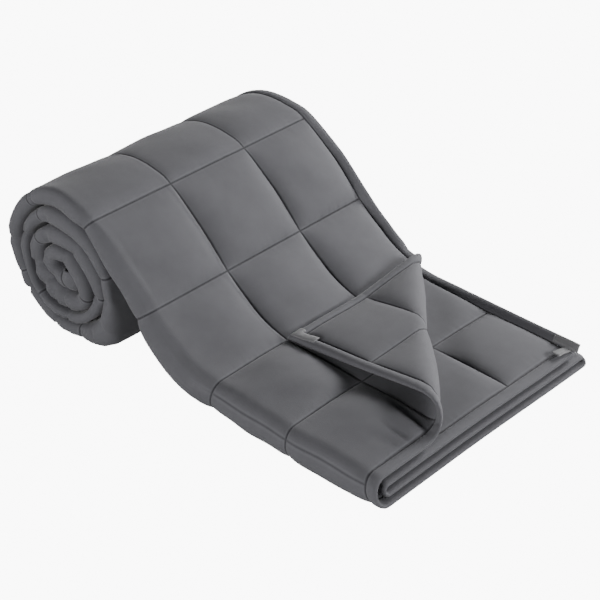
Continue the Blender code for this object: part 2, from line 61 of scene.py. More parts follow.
# %% Camera
CAMERA_PLACE = (1.13508, -1.25850, 1.17147)
CAMERA_TURN = math.radians(131.895)     # the way it looks, from +X
CAMERA_DOWN = math.radians(33.565)
CAMERA_ROLL = math.radians(1.217)
CAMERA_LENS_MM = 99.47
CAMERA_CLIP = 0.1


def direction(turn, up):
    """A unit vector, from its turn from +X and its rise over the floor."""
    return np.array([math.cos(up) * math.cos(turn), math.cos(up) * math.sin(turn), math.sin(up)])


def looking(place, forward, roll=0.0):
    """Matrix of a camera or lamp that stands at a place and looks forward."""
    right = np.cross(forward, (0.0, 0.0, 1.0))
    right /= np.linalg.norm(right)
    up = np.cross(right, forward)
    axes = (right * math.cos(roll) + up * math.sin(roll),
            up * math.cos(roll) - right * math.sin(roll), -forward, place)
    return Matrix([[axis[i] for axis in axes] for i in range(3)] + [[0, 0, 0, 1]])


def put_in_scene(name, data):
    """A new object for some data."""
    thing = bpy.data.objects.new(name, data)
    bpy.context.scene.collection.objects.link(thing)
    return thing


camera_data = bpy.data.cameras.new("camera")
camera_data.lens = CAMERA_LENS_MM
camera_data.clip_start = CAMERA_CLIP
camera = put_in_scene("camera", camera_data)
camera.matrix_world = looking(CAMERA_PLACE, direction(CAMERA_TURN, -CAMERA_DOWN), CAMERA_ROLL)
bpy.context.scene.camera = camera
print("camera", CAMERA_LENS_MM, "mm lens")

# %% [markdown]
# The squares are what gives the blanket its size. Twelve of them lie across its
# width and fourteen down its length, with a plain turned-in hem outside the
# last seam. The small helpers below work on whole arrays of points at once,
# which is what keeps a mesh of this size quick to make.

# %% Squares and hem
CELL = 0.127
COLUMNS = 12
ROWS = 14
HEM = 0.015
WIDTH = COLUMNS * CELL
LENGTH = ROWS * CELL
HEM_ROWS = HEM / CELL
HAIR = 1e-6


def smooth(value, low, high):
    """Ease from 0 at low to 1 at high."""
    t = np.clip((value - low) / (high - low), 0.0, 1.0)
    return t * t * (3.0 - 2.0 * t)


def lerp(a, b, t):
    """From a to b, at part t."""
    return a + (b - a) * t


def look_up(table, x):
    """Straight lines through a table's rows."""
    places, values = zip(*table)
    return np.interp(x, places, values)


def bump(value, middle, half_width):
    """1 at the middle, fading softly to 0 on both sides."""
    return np.exp(-((value - middle) / half_width) ** 2)


def edge_distance(u, v):
    """From the nearest edge of the flat cloth."""
    return np.minimum(np.minimum(u, v), np.minimum(WIDTH - v, LENGTH - u))


print(f"flat cloth {WIDTH:.3f} x {LENGTH:.3f} m")

# %% [markdown]
# Seen from the side, the pack of four layers follows a line: flat on the floor, up a slope, over
# the top and round into the roll. The open end and the slope are laid down as a few knots. The
# spacing of the layers goes with them, because the fold lifts the near side more than the far side.
# Everything is laid out from the first crossing of seams on the open end, and moved in the end so
# that the origin is under the middle of the part.

# %% Open end and slope
MIDDLE_X = -0.1645
MIDDLE_Y = -0.060
BASE_Z = 0.0052
SLOPE = (
    # x, z of the lowest layer's seams, layer spacing at the near side, at the far side
    (0.191, BASE_Z, 0.0106, 0.0096), (0.127, BASE_Z, 0.0112, 0.0093),
    (0.064, BASE_Z, 0.0118, 0.0087), (0.000, BASE_Z, 0.0120, 0.0085),
    (-0.060, BASE_Z, 0.0120, 0.0092), (-0.112, BASE_Z, 0.0120, 0.0104),
    (-0.152, 0.0102, 0.0121, 0.0112), (-0.187, 0.0235, 0.0121, 0.0114),
    (-0.218, 0.0450, 0.0120, 0.0112), (-0.247, 0.0760, 0.0106, 0.0102),
    (-0.280, 0.1190, 0.0078, 0.0078),
)
# x of the lowest layer's seams where the first five rows of squares start
ROW_X = (0.127, 0.0, -0.118, -0.243, -0.3226)
print(len(SLOPE), "knots from the open end to the roll")

# %% [markdown]
# The roll is drawn by its outside: how far it reaches from a centre, for each
# quarter of a turn. A real roll is never round. Its middle slipped to one side
# while it was rolled up, so the centre moves from turn to turn, it bulges where
# it sits down, and its core is a flat, tilted oval. The distance from one turn
# to the next is shared out between the four layers.

# %% Roll
LAYER_COUNT = 4
ROLL_X = -0.3655
ROLL_Z = 0.0946
ROLL_FROM = -0.25           # turns from the top, where the table starts
ROLL_STEP = 0.25
ROLL = (
    # centre's way in x and z from the first centre, reach of the outside
    *((0.0, 0.0, reach) for reach in (0.1050, 0.0990, 0.1030, 0.0975, 0.0785)),
    (-0.0030, 0.0000, 0.0774), (-0.0050, -0.0003, 0.0764), (-0.0074, -0.0006, 0.0770),
    (-0.0097, -0.0023, 0.0743), (-0.0120, -0.0040, 0.0534), (-0.0140, -0.0058, 0.0554),
    (-0.0160, -0.0076, 0.0566), (-0.0158, -0.0078, 0.0538),
    *((-0.0155, -0.0085, reach) for reach in (0.0318, 0.0300, 0.0240, 0.0305, 0.0110, 0.0050,
                                              0.0000, 0.0040, -0.0080, -0.0080, -0.0080)),
)
FIRST_TURN = 1.0            # up to here the roll may touch the floor
SAG = (0.026, 0.600, 0.075)  # height of the bulge where it sits down, its turn, half width
CORE_BULGES = (
    # the same for the core
    (0.0070, 2.64, 0.090), (-0.0055, 3.38, 0.080), (0.0100, 3.64, 0.090), (-0.0070, 3.88, 0.090),
)
TURN_GAP = 0.0012
FIRST_ROLL_TURN = -33.0 / 360.0
LAST_ROLL_TURN = 4.15
ROLL_KNOTS = 24             # a turn
STEEPEST = 1e-3             # keeps the reach to the floor finite beside the centre
print(f"the roll's outside is given for {len(ROLL) * ROLL_STEP:.0f} turns")

# %% [markdown]
# Between the table's rows the outside follows smooth curves. A Catmull-Rom curve is used here and
# for the path below, because it passes through every value that was given. Where the roll would
# sink into the floor, its reach is cut off there, which makes the flat that it sits on.

# %% Knots of the roll
def catmull_rom(a, b, c, d, t):
    """Between b and c, at part t, on a smooth curve through four knots."""
    return 0.5 * (2 * b + (c - a) * t + (2 * a - 5 * b + 4 * c - d) * t * t
                  + (3 * b - a - 3 * c + d) * t ** 3)


def roll_table(turns):
    """Smooth curves through the columns of the roll's table."""
    rows = np.array(ROLL)
    place = (turns - ROLL_FROM) / ROLL_STEP
    i = np.clip(np.floor(place).astype(int), 1, len(rows) - 3)
    return catmull_rom(*(rows[i + k] for k in (-1, 0, 1, 2)), (place - i)[:, None]).T


def ray(turns):
    """The way out of the roll at some turns from its top, in x and z."""
    angle = 0.5 * math.pi + turns * 2.0 * math.pi
    return np.cos(angle), np.sin(angle)


def roll_outside(turns):
    """Outside of the roll: x and z from the first centre."""
    shift_x, shift_z, reach = roll_table(turns)
    height, place, width = SAG
    first = turns < FIRST_TURN
    reach = reach + np.where(first, height * bump(turns, place, width), 0.0)
    for height, place, width in CORE_BULGES:
        reach = reach + height * bump(turns, place, width)
    way_x, way_z = ray(turns)
    to_floor = (ROLL_Z + shift_z) / np.maximum(-way_z, STEEPEST)
    reach = np.where(first, np.minimum(reach, to_floor), reach)
    return shift_x + reach * way_x, shift_z + reach * way_z


def roll_knots(turns):
    """Seams of the innermost layer in the roll: x, z and the layers' spacing."""
    x, z = roll_outside(turns)
    next_x, next_z = roll_outside(turns + 1.0)
    way_x, way_z = ray(turns)
    pitch = (x - next_x) * way_x + (z - next_z) * way_z
    spacing = (pitch - TURN_GAP) / LAYER_COUNT
    inwards = (LAYER_COUNT - 0.5) * spacing
    return ROLL_X + x - inwards * way_x, ROLL_Z + z - inwards * way_z, spacing


roll_turns = np.arange(FIRST_ROLL_TURN, LAST_ROLL_TURN, 1.0 / ROLL_KNOTS)
knot_x, knot_z, knot_spacing = roll_knots(roll_turns)
thinnest, thickest = knot_spacing.min() * 1000, knot_spacing.max() * 1000
print(f"layers in the roll are {thinnest:.1f} to {thickest:.1f} mm apart")

# %% [markdown]
# One smooth curve runs through all the knots. The outside sets the pace where
# it shows, because its squares are the ones that must come out true; deeper in
# the roll a lower layer does.

# %% Path of the lowest layer
SAMPLES = 12                # between two knots
NORMALS_TURN = (FIRST_ROLL_TURN, 0.06)
PACED_OUTSIDE = (0.0, 1.0)  # turns over which the pace goes over to a deeper layer
PACED_DOWN = 2.45           # and how many layers deeper
TOP_LAYER = LAYER_COUNT - 1

slope = np.array(SLOPE)
knots = np.vstack([slope, np.column_stack([knot_x, knot_z, knot_spacing, knot_spacing])])
knot_turns = np.concatenate([np.full(len(slope), -1.0), roll_turns])


def sample_curve(knots, count):
    """A number of samples between each two knots."""
    padded = np.vstack([2 * knots[0] - knots[1], knots, 2 * knots[-1] - knots[-2]])
    t = (np.arange(count) / count)[:, None]
    return np.vstack([catmull_rom(*four, t)
                      for four in zip(padded, padded[1:], padded[2:], padded[3:])])


path_x, path_z, path_near, path_far = sample_curve(knots, SAMPLES).T
path_turns = np.interp(np.arange(len(path_x)) / SAMPLES, np.arange(len(knots)), knot_turns)


def path_normals():
    """Square to the curve on the slope, and away from the centre in the roll."""
    across = np.array([np.gradient(path_z), -np.gradient(path_x)])
    across /= np.linalg.norm(across, axis=0)
    mixed = lerp(across, np.array(ray(path_turns)), smooth(path_turns, *NORMALS_TURN))
    return mixed / np.linalg.norm(mixed, axis=0)


path_nx, path_nz = path_normals()


def path_rows():
    """Row of squares, counted at each sample of the path."""
    level = (TOP_LAYER - PACED_DOWN * smooth(path_turns, *PACED_OUTSIDE)) * path_near
    step = np.hypot(np.diff(path_x + path_nx * level), np.diff(path_z + path_nz * level))
    length = np.concatenate([[0.0], np.cumsum(step)])
    marks = [length[np.argmax(path_x <= x + HAIR)] for x in ROW_X]
    before = 2.0 * marks[0] - marks[1]
    after = marks[-1] + CELL * ROWS
    return np.interp(length, [before, *marks, after],
                     [-1.0, *range(len(marks)), len(marks) - 1.0 + ROWS])


path_row = path_rows()


def along_path(u, *values):
    """Values of the path at places u down the length of the cloth."""
    return [np.interp(u / CELL, path_row, value) for value in values]


print(f"the path is {path_row[-1]:.2f} rows long, and row {ROWS} ends at turn",
      round(float(np.interp(ROWS, path_row, path_turns)), 2))

# %% [markdown]
# The fold across the width. Three columns of squares lie in each layer. Two
# folds are on the near side, one inside the other, and one is on the far side.
# A cloth simulation could fold a sheet, but its folds fall where they will, and
# these have to lie as they do here. So each layer's seams are given a place of
# their own, a little apart, because no one folds a blanket exactly.

# %% Fold
NOSE_Y = -0.2555            # outside of the near fold, the pack's nose
FAR_Y = 0.128               # outside of the far fold
LAYERS = (
    # level, y at the seams from the layer's first column to its last, None in the near fold
    (3, (0.127, 0.0, -0.127, None)),
    (0, (None, -0.127, -0.001, FAR_Y)),
    (1, (FAR_Y, -0.001, -0.126, None)),
    (2, (None, -0.126, 0.0, 0.127)),
)
FACING = (1.0, -1.0, 1.0, -1.0)         # the way side A faces in each layer, up or down
OUTER_LAYERS = (0, 1)                   # those that the outer near fold joins
OUTER_FOLD, INNER_FOLD = 1.5, 0.5       # radius of each near fold, in layer spacings
NEAR_SIDE = (-0.130, 0.120)
SEAM_TURN_OPEN = math.radians(62.0)     # how far round the near fold its seam lies, open end
SEAM_TURN_ROLL = math.radians(128.0)    # and in the roll
SEAM_SLIPS = (-0.10, 0.30)              # turns over which it slips from one to the other
INNER_BACK = 0.0030                     # how far the inner near fold keeps back
HEM_LIFT = math.radians(33.0)           # how steeply the second layer's hem stands where it is free
HEM_LIFT_ROWS = (2.3, 0.8)
TOP_HEM_LIFT = math.radians(32.0)       # and the first layer's hem up the slope
TOP_HEM_LIFT_ROWS = (1.9, 2.6)
TOP_HEM_FALL_ROWS = (4.3, 3.1)
NOSE_WANDERS = (
    # the near fold wanders in and out: height, waves down the length, where they start
    (0.0016, 4.1, 0.7), (0.00096, 9.7, 2.0),
)


print("levels of the four layers", [level for level, _ in LAYERS])

# %% [markdown]
# A fold is a half circle of cloth between two layers. From a seam on each side
# the cloth runs flat up to the bend and then round its own part of it, so one
# helper does both the near and the far side. On the open end the outer near
# fold's seam lies above its middle, and in the roll it has slipped below it.

# %% Bends
def nearness(y):
    """0 at the far side of the pack, 1 from its middle to the near side."""
    return smooth(-y, *NEAR_SIDE)


def layer_level(layer, near, far, y):
    """Height of a layer's seams over the lowest."""
    return LAYERS[layer][0] * lerp(far, near, nearness(y))


def bend(layer, u, part, seam_y, side, centre, radius, arc, above):
    """A stretch from a seam into a fold, at parts of its length. The side is 1 for the far fold and
    -1 for a near one, and the centre is that of the fold, in y and height."""
    near, far = along_path(u, path_near, path_far)
    centre_y, centre_height = centre
    straight = side * (centre_y - seam_y)
    done = part * (straight + arc * radius)
    angle = np.maximum(done - straight, 0.0) / radius
    flat = done <= straight
    y = np.where(flat, seam_y + side * done, centre_y + side * radius * np.sin(angle))
    height = np.where(flat, layer_level(layer, near, far, y),
                      centre_height + above * radius * np.cos(angle))
    ny = np.where(flat, 0.0, side * FACING[layer] * above * np.sin(angle))
    return y, height, ny, FACING[layer] * np.cos(angle), angle


def near_fold(layer, u, part, seam_y):
    """Into a near fold, the outer one of which lets its seam slip round it."""
    near, turns = along_path(u, path_near, path_turns)
    outer = layer in OUTER_LAYERS
    wander = sum(height * np.sin(u / CELL * waves + start) for height, waves, start in NOSE_WANDERS)
    centre_y = NOSE_Y + OUTER_FOLD * near + (wander if outer else wander + INNER_BACK)
    arc = np.full_like(u, 0.5 * math.pi)
    if outer:
        arc = lerp(SEAM_TURN_OPEN, SEAM_TURN_ROLL, smooth(turns, *SEAM_SLIPS))
        arc = arc if layer == 0 else math.pi - arc
    return bend(layer, u, part, seam_y, -1.0, (centre_y, OUTER_FOLD * near),
                (OUTER_FOLD if outer else INNER_FOLD) * near, arc, 1.0 if layer in (0, 3) else -1.0)


def far_fold(layer, u, part, seam_y):
    """Into the far fold; only the angle in a near fold is given on."""
    radius = 0.5 * along_path(u, path_far)[0]
    *placed, angle = bend(layer, u, part, seam_y, 1.0, (FAR_Y - radius, radius), radius,
                          0.5 * math.pi, 1.0 if layer == 2 else -1.0)
    return *placed, 0.0 * angle


radii = np.array([OUTER_FOLD, INNER_FOLD]) * SLOPE[0][2] * 1000
print("near folds of the open end have radii of", radii.round(1), "mm")

# %% [markdown]
# The other squares lie flat between two seams. Only the hem at the end of the
# first and of the last layer is free, and there the real hem stands up a little
# instead of lying down. With that, the whole width can be folded.

# %% Folding every column
def flat_square(layer, u, v, part, start, stop):
    """A square between two seams of one layer; the last column's hem may stand up."""
    near, far = along_path(u, path_near, path_far)
    y = lerp(start, stop, part)
    row = u / CELL
    if layer == 0:
        out = np.maximum(0.0, HEM - v)
        lift = TOP_HEM_LIFT * smooth(row, *TOP_HEM_LIFT_ROWS) * smooth(row, *TOP_HEM_FALL_ROWS)
    else:
        out = np.maximum(0.0, HEM - (WIDTH - v))
        lift = HEM_LIFT * smooth(row, *HEM_LIFT_ROWS)
    lift = np.where(out > 0.0, lift, 0.0)
    return (y - out * (1.0 - np.cos(lift)), layer_level(layer, near, far, y) + out * np.sin(lift),
            -FACING[layer] * np.sin(lift), FACING[layer] * np.cos(lift), 0.0 * u)


def fold_across(u, v):
    """Folds the width: y, height over the lowest seams, the way side A faces in y and in
    height, and the angle in the near fold."""
    square = np.minimum((v / CELL + HAIR).astype(int), COLUMNS - 1)
    result = np.zeros((5, len(u)))
    for column in range(COLUMNS):
        here = np.nonzero(square == column)[0]
        if not len(here):
            continue
        layer, place = divmod(column, 3)
        start, stop = LAYERS[layer][1][place:place + 2]
        part = v[here] / CELL - column
        if start is None:
            result[:, here] = near_fold(layer, u[here], 1.0 - part, stop)
        elif stop is None:
            result[:, here] = near_fold(layer, u[here], part, start)
        elif start == FAR_Y:
            result[:, here] = far_fold(layer, u[here], 1.0 - part, stop)
        elif stop == FAR_Y:
            result[:, here] = far_fold(layer, u[here], part, start)
        else:
            result[:, here] = flat_square(layer, u[here], v[here], part, start, stop)
    return result


folded = fold_across(np.zeros(COLUMNS), (np.arange(COLUMNS) + 0.5) * CELL)
print("height of each column at the open end", folded[1].round(4))

# %% [markdown]
# Each square is a small pillow. Its two faces are level with the seams at its
# edges, rise steeply beside them and are nearly flat in the middle. The beads
# never lie quite evenly, so a few long waves are added over the whole cloth. A
# fixed seed draws the same waves each time.

# %% Shape of a square
SHOULDER = 0.025            # how far from a seam a square is still rising
SHOULDER_POWER = 0.60       # under 1, so that it rises steeply from the seam
DOME = 0.42                 # part of its height that it gains over its whole width
NOSE_SEAM = 3.0 * CELL      # the seam in the outer near fold
NOSE_GROOVE = 0.32          # how deep that seam's groove is
NOSE_GROOVE_WIDE = 0.0035
WAVES = 7                   # sine waves that make up the unevenness
WAVE_LENGTHS = (0.7, 1.6)   # of its size
SWELL = 0.0007
SWELL_SIZE = 0.060
SWELL_SEED = 5


def seam_phase(place, count):
    """Part of a square, 0 and 1 at its seams; the hems push the outermost seams in."""
    table = [(0.0, 0.0), (HEM_ROWS, 0.0), (1.0, 1.0), (count - 1.0, count - 1.0),
             (count - HEM_ROWS, float(count)), (float(count), float(count))]
    return look_up(table, place) % 1.0


def rise(phase):
    """How high a square stands at a part of its width: 0 at its seams, 1 in its middle."""
    inwards = CELL * (0.5 - np.abs(phase - 0.5))
    shoulder = (1.0 - (1.0 - np.minimum(inwards / SHOULDER, 1.0)) ** 2) ** SHOULDER_POWER
    return (1.0 - DOME) * shoulder + DOME * np.sin(math.pi * phase)


def crown(u, v, nose_fill=0.0, nose_groove=0.0):
    """0 at the seams and hems, 1 in the middle of a square; the near fold's seam is shallow."""
    from_nose = np.abs(v - NOSE_SEAM)
    shallow = nose_fill * (1.0 - nose_groove * bump(from_nose, 0.0, NOSE_GROOVE_WIDE))
    across = np.maximum(rise(seam_phase(v / CELL, COLUMNS)),
                        np.where(from_nose < 0.5 * CELL, shallow, 0.0))
    return rise(seam_phase(u / CELL, ROWS)) * across


def swelling(u, v):
    """Unevenness of the filling, none at the seams and hems."""
    rng = np.random.default_rng(SWELL_SEED)
    total = np.zeros_like(u)
    draws = (rng.uniform(0, math.tau, WAVES), rng.uniform(0, math.tau, WAVES),
             rng.uniform(*WAVE_LENGTHS, WAVES) * SWELL_SIZE)
    for angle, phase, length in zip(*draws):
        total += np.sin(math.tau * (u * math.cos(angle) + v * math.sin(angle)) / length + phase)
    inside = np.where(edge_distance(u, v) > HEM, crown(u, v), 0.0)
    return SWELL * total / math.sqrt(WAVES) * inside


print("a square stands at", rise(np.linspace(0.0, 0.5, 6)).round(2), "from its seam to its middle")

# %% [markdown]
# How far a square rises depends on what presses on it: free on top of the open
# end, held in the roll, and flattened between two layers. Each place has its
# own puff in metres, and they go over into one another along the cloth. The hem
# has no filling, but it is turned in twice, so it is a rounded cord of cloth.

# %% Filling
SEAM_HALF = 0.0011          # half thickness of the cloth at a seam
HEM_HALF = 0.0031           # and of the hem
HEM_POWER = 2.2             # how square its section is
LAYER_GAP = 0.0004
PUFF_OPEN = 0.0130          # top of the open end
PUFF_FLAP = 0.0056          # lining side of the turned corner
PUFF_SECOND = 0.0080        # second layer, where the corner uncovers it
PUFF_ROLL = 0.0040          # outside of the roll
PUFF_NOSE = 0.0036          # round the near fold, in the roll
PUFF_NOSE_OPEN = 0.0058     # and on the open end
PUFF_UNDER = 0.0062         # underside of the open end, flattened by the floor
PUFF_CREASE = 0.0030        # where the corner turns back
PUFF_COVERED = 0.0050       # below the turned corner
OPEN_TO_ROLL = (3.1, 4.5)   # rows
FLOOR_TO_ROLL = (2.9, 3.5)
ROLL_COVERED = (0.62, 0.74)  # turns
ROUND_NOSE = (0.10, 1.10)   # angles in the near fold over which its puff is held in
TAPER = (2.25, 2.92)        # columns over which the open end's top comes down to the near fold
NOSE_OPEN = (0.30, -0.10)   # turns: before the roll the filling goes round the near fold
NOSE_FILL = 0.74            # part of its height that the cloth keeps at the seam there
ROLL_NOSE_FILL = 0.95       # and in the roll
TURNED_SQUARES = 2.0        # squares along each edge of the turned corner
FLAP_RISES = (0.0, 0.05)    # past the line where the corner turns
FLAP_CREASE = (-0.03, 0.0)
FLAP_COVERS = (0.0, -0.03)
FLAP_ENDS = (-0.22, -0.17)
print(f"the hem is {HEM_HALF * 2000:.1f} mm thick, the cloth at a seam {SEAM_HALF * 2000:.1f} mm")

# %% [markdown]
# Now the half thickness at any point of the flat cloth can be told: the puff of
# its place times the shape of its square. Two layers that lie on each other
# share the space between their seams. Where the roll's layers lie closest, that
# space is no more than a seam is thick, and some of their faces cut each other.

# %% Thickness of the cloth
def flap_line(u, v):
    """Distance past the line on which the top corner turns back."""
    return (TURNED_SQUARES * CELL - u - v) / math.sqrt(2.0)


def hem_thickness(edge):
    """Half thickness of the hem, rounded at its edge and level with its seam."""
    aside = np.abs(2.0 * edge / HEM - 1.0)
    hem = HEM_HALF * np.sqrt(np.maximum(0.0, 1.0 - aside ** HEM_POWER))
    return np.where(edge > 0.5 * HEM, np.maximum(hem, SEAM_HALF), hem)


def half_thickness(u, v, side_a):
    """From the middle of the cloth to one of its faces."""
    y, _, _, _, angle = fold_across(u, v)
    near, far, turns = along_path(u, path_near, path_far, path_turns)
    layer = np.minimum(v / CELL, COLUMNS - HAIR) // 3
    spacing = lerp(far, near, nearness(y))
    pressed = np.maximum(0.5 * spacing - LAYER_GAP - SEAM_HALF, 0.0)
    past = flap_line(u, v)
    nose_open = smooth(turns, *NOSE_OPEN)
    if side_a:
        free = lerp(PUFF_OPEN, PUFF_ROLL, smooth(u / CELL, *OPEN_TO_ROLL))
        top = lerp(free, pressed, smooth(turns, *ROLL_COVERED))
        in_corner = (u < TURNED_SQUARES * CELL) & (v < TURNED_SQUARES * CELL)
        covered = lerp(top, PUFF_COVERED, smooth(past, *FLAP_COVERS) * smooth(past, *FLAP_ENDS))
        covered = lerp(covered, PUFF_CREASE, smooth(past, *FLAP_CREASE))
        top = np.where(in_corner, covered, top)
        under = lerp(PUFF_UNDER, pressed, smooth(u / CELL, *FLOOR_TO_ROLL))
        round_nose = smooth(angle, *ROUND_NOSE)
        held = lerp(PUFF_NOSE, PUFF_NOSE_OPEN, nose_open)
        top = lerp(top, held, lerp(round_nose, smooth(v / CELL, *TAPER), nose_open))
        under = lerp(under, held, round_nose)
        puff = np.select([layer == 0, layer == 1], [top, under], pressed)
    else:
        flap = lerp(pressed, PUFF_FLAP, smooth(past, *FLAP_RISES))
        second = lerp(pressed, PUFF_SECOND, smooth(flap_line(u, WIDTH - v), *FLAP_RISES))
        puff = np.select([layer == 0, layer == 3], [flap, second], pressed)
    nose_fill = lerp(ROLL_NOSE_FILL, NOSE_FILL, nose_open) if side_a else 0.0
    raised = SEAM_HALF + puff * crown(u, v, nose_fill, NOSE_GROOVE * nose_open)
    edge = edge_distance(u, v)
    return np.where(edge < HEM - HAIR, hem_thickness(edge), raised)


middle = half_thickness(np.array([2.5 * CELL]), np.array([1.5 * CELL]), True)[0]
print(f"a free square on the open end rises {middle * 1000:.1f} mm from the middle of the cloth")

# %% [markdown]
# The turned corner. The cloth rolls over a soft tube that lies at 45 degrees to
# the seams, so its radius is what the eye reads: tight in the middle, wider
# towards the open end. Past the tube the corner comes down on the layer below,
# and only its end hem stays a little in the air.

# %% Turned corner
CURL_MIDDLE = 0.0125        # radius of the tube in its middle
CURL_FAR = 0.0108           # at the far edge
CURL_END = 0.0170           # and at the open end
CURL_NEAR_MIDDLE = 0.04
CURL_FULL = 0.18
FLAP_GAP = 0.0012
FLAP_BRIDGES = 0.80         # how far the corner bridges the dips between the squares below
FLAP_BRIDGE_FROM = (-0.010, 0.020)  # from its long edge
FLAP_FALL = 0.085           # distance over which it comes down
FLAP_FALL_END = 0.150       # along the end hem it does so slowly
FLAP_END_REACH = 0.110
FLAP_SLOPE = 1.6
CORNER_SQUARES = 2.6        # squares that the turn can reach
END_LIFT = 0.0030           # how high the turned corner's end hem stands off
END_LIFT_REACH = 0.042
END_LIFT_AT = (0.02, 0.085)  # along the hem, from the tip


def curl_radius(along):
    """Radius of the corner's turn, along the fold line from the far edge to the end."""
    return np.where(along < 0.0, lerp(CURL_MIDDLE, CURL_FAR, smooth(-along, 0.0, CURL_FULL)),
                    lerp(CURL_MIDDLE, CURL_END, smooth(along, CURL_NEAR_MIDDLE, CURL_FULL)))


def top_level(u, y):
    """Height of the first layer's seams over those of the lowest."""
    return layer_level(0, *along_path(u, path_near, path_far), y)


def end_lift(u, v):
    """Rise of the turned corner towards its end hem."""
    return END_LIFT * smooth(u, END_LIFT_REACH, 0.0) * smooth(v, *END_LIFT_AT)


def flap_seat(u, v, under_u, under_v):
    """How high the middle of the turned cloth lies over the first layer's seams."""
    below = half_thickness(np.maximum(under_u, HEM), np.maximum(under_v, HEM), True)
    bridged = np.maximum(below, SEAM_HALF + PUFF_COVERED)
    below = lerp(below, bridged, FLAP_BRIDGES * smooth(v, *FLAP_BRIDGE_FROM))
    return below + half_thickness(u, v, True) + FLAP_GAP + end_lift(u, v)


def turn_corner(u, v, y, w):
    """Bends the top corner back over the first layer; returns row place, y and height."""
    x = CELL - u
    past = (x + y) / math.sqrt(2.0)
    along = (x - y) / math.sqrt(2.0)
    radius = curl_radius(along)
    start = -0.5 * math.pi * radius
    turned = np.clip((past - start) / radius, 0.0, math.pi)
    bent = start + (radius - w) * np.sin(turned)
    height = radius - (radius - w) * np.cos(turned)
    over = past - start > math.pi * radius
    bent = np.where(over, 2.0 * start - past + math.pi * radius, bent)
    new_x = (bent + along) / math.sqrt(2.0)
    new_y = (bent - along) / math.sqrt(2.0)
    seat = flap_seat(u, v, CELL - new_x, CELL - new_y)
    fall = lerp(FLAP_FALL, FLAP_FALL_END, smooth(u, FLAP_END_REACH, 0.0))
    down = np.clip((start - bent) / fall, 0.0, 1.0)
    down = 0.5 * (smooth(down, 0.0, 1.0) + 1.0 - (1.0 - down) ** FLAP_SLOPE)
    height = np.where(over, lerp(2.0 * radius, seat, down) - w, height)
    flat = past <= start
    new_u = np.where(flat, u, CELL - new_x)
    new_y = np.where(flat, y, new_y)
    return new_u, new_y, top_level(new_u, new_y) + np.where(flat, w, height)


print(f"the corner turns over a tube {CURL_MIDDLE * 2000:.0f} mm thick in its middle")

# %% [markdown]
# The creases that make this blanket this one are placed one by one. Where the near fold bends round
# the roll, the cloth is too long on its inside and folds up in short creases across the band. The
# table names each by its turn and by where it lies across the band, from 0 at the outside to 1 at
# the inside. A few more wrinkles lie in the flat cloth beside the turned corner.

# %% Creases
BAND_CREASES = (
    # turn, across the band, its half length across, depth, half width, slant
    (0.104, 0.30, 0.30, 0.0042, 0.0040, 0.2), (0.244, 0.35, 0.30, 0.0040, 0.0040, -0.1),
    (0.364, 0.30, 0.35, 0.0044, 0.0040, 0.1), (0.461, 0.30, 0.30, 0.0038, 0.0038, 0.0),
    (0.550, 0.70, 0.25, 0.0046, 0.0034, 0.1), (0.588, 0.75, 0.22, 0.0046, 0.0034, -0.1),
    (0.640, 0.65, 0.30, 0.0040, 0.0036, 0.1), (0.716, 0.70, 0.35, 0.0044, 0.0040, 0.2),
    (1.060, 0.75, 0.30, 0.0050, 0.0042, 0.0), (1.210, 0.40, 0.55, 0.0050, 0.0042, -0.1),
    (1.517, 0.40, 0.45, 0.0042, 0.0038, 0.1), (1.700, 0.72, 0.32, 0.0048, 0.0040, 0.1),
    (1.880, 0.55, 0.40, 0.0036, 0.0045, -0.1), (2.060, 0.55, 0.40, 0.0038, 0.0045, 0.1),
    (2.290, 0.50, 0.60, 0.0054, 0.0040, -0.3), (2.390, 0.50, 0.60, 0.0052, 0.0038, -0.3),
    (2.470, 0.65, 0.40, 0.0048, 0.0036, -0.2), (2.540, 0.45, 0.50, 0.0046, 0.0036, -0.1),
    (2.640, 0.70, 0.35, 0.0044, 0.0036, 0.1), (2.880, 0.60, 0.40, 0.0040, 0.0042, 0.1),
    (3.200, 0.60, 0.45, 0.0042, 0.0040, 0.0), (3.420, 0.55, 0.45, 0.0042, 0.0038, 0.1),
)
FLAT_CREASES = (
    # u and v at both ends, height (a valley where it is negative), half width
    ((0.026, 0.272), (0.060, 0.266), -0.0042, 0.0048),
    ((0.025, 0.300), (0.046, 0.303), -0.0040, 0.0044),
    ((0.025, 0.318), (0.036, 0.326), -0.0026, 0.0044),
    ((0.024, 0.286), (0.050, 0.284), 0.0018, 0.0070),
)
CREASES_START = (0.0, 0.3)  # angle in the near fold
CREASES_FROM = -0.5         # turn, before which there are none


def band_shift(u, angle):
    """How far the near fold is drawn in by its creases."""
    near, turns = along_path(u, path_near, path_turns)
    across = angle / math.pi
    drawn = np.zeros_like(u)
    for turn, middle, half, depth, width, slant in BAND_CREASES:
        row = np.interp(turn, path_turns, path_row)
        way = u - row * CELL - slant * (across - middle) * math.pi * OUTER_FOLD * near
        drawn += depth * bump(way, 0.0, width) * bump(across, middle, half)
    return drawn * smooth(angle, *CREASES_START) * (turns > CREASES_FROM)


def crease_height(u, v):
    """Valleys and ridges along the flat creases."""
    height = np.zeros_like(u)
    for (u0, v0), (u1, v1), depth, width in FLAT_CREASES:
        length = math.hypot(u1 - u0, v1 - v0)
        along = ((u - u0) * (u1 - u0) + (v - v0) * (v1 - v0)) / length
        aside = ((u - u0) * (v1 - v0) - (v - v0) * (u1 - u0)) / length
        past = np.maximum(0.0, np.maximum(-along, along - length))
        height += depth * bump(np.hypot(aside, past), 0.0, width)
    return height


print(len(BAND_CREASES), "creases in the band,", len(FLAT_CREASES), "beside the turned corner")

# %% [markdown]
# Now every step is put together. The layers slip past one another towards the
# open end, so that their hems fan out there, and the far side wanders a little.

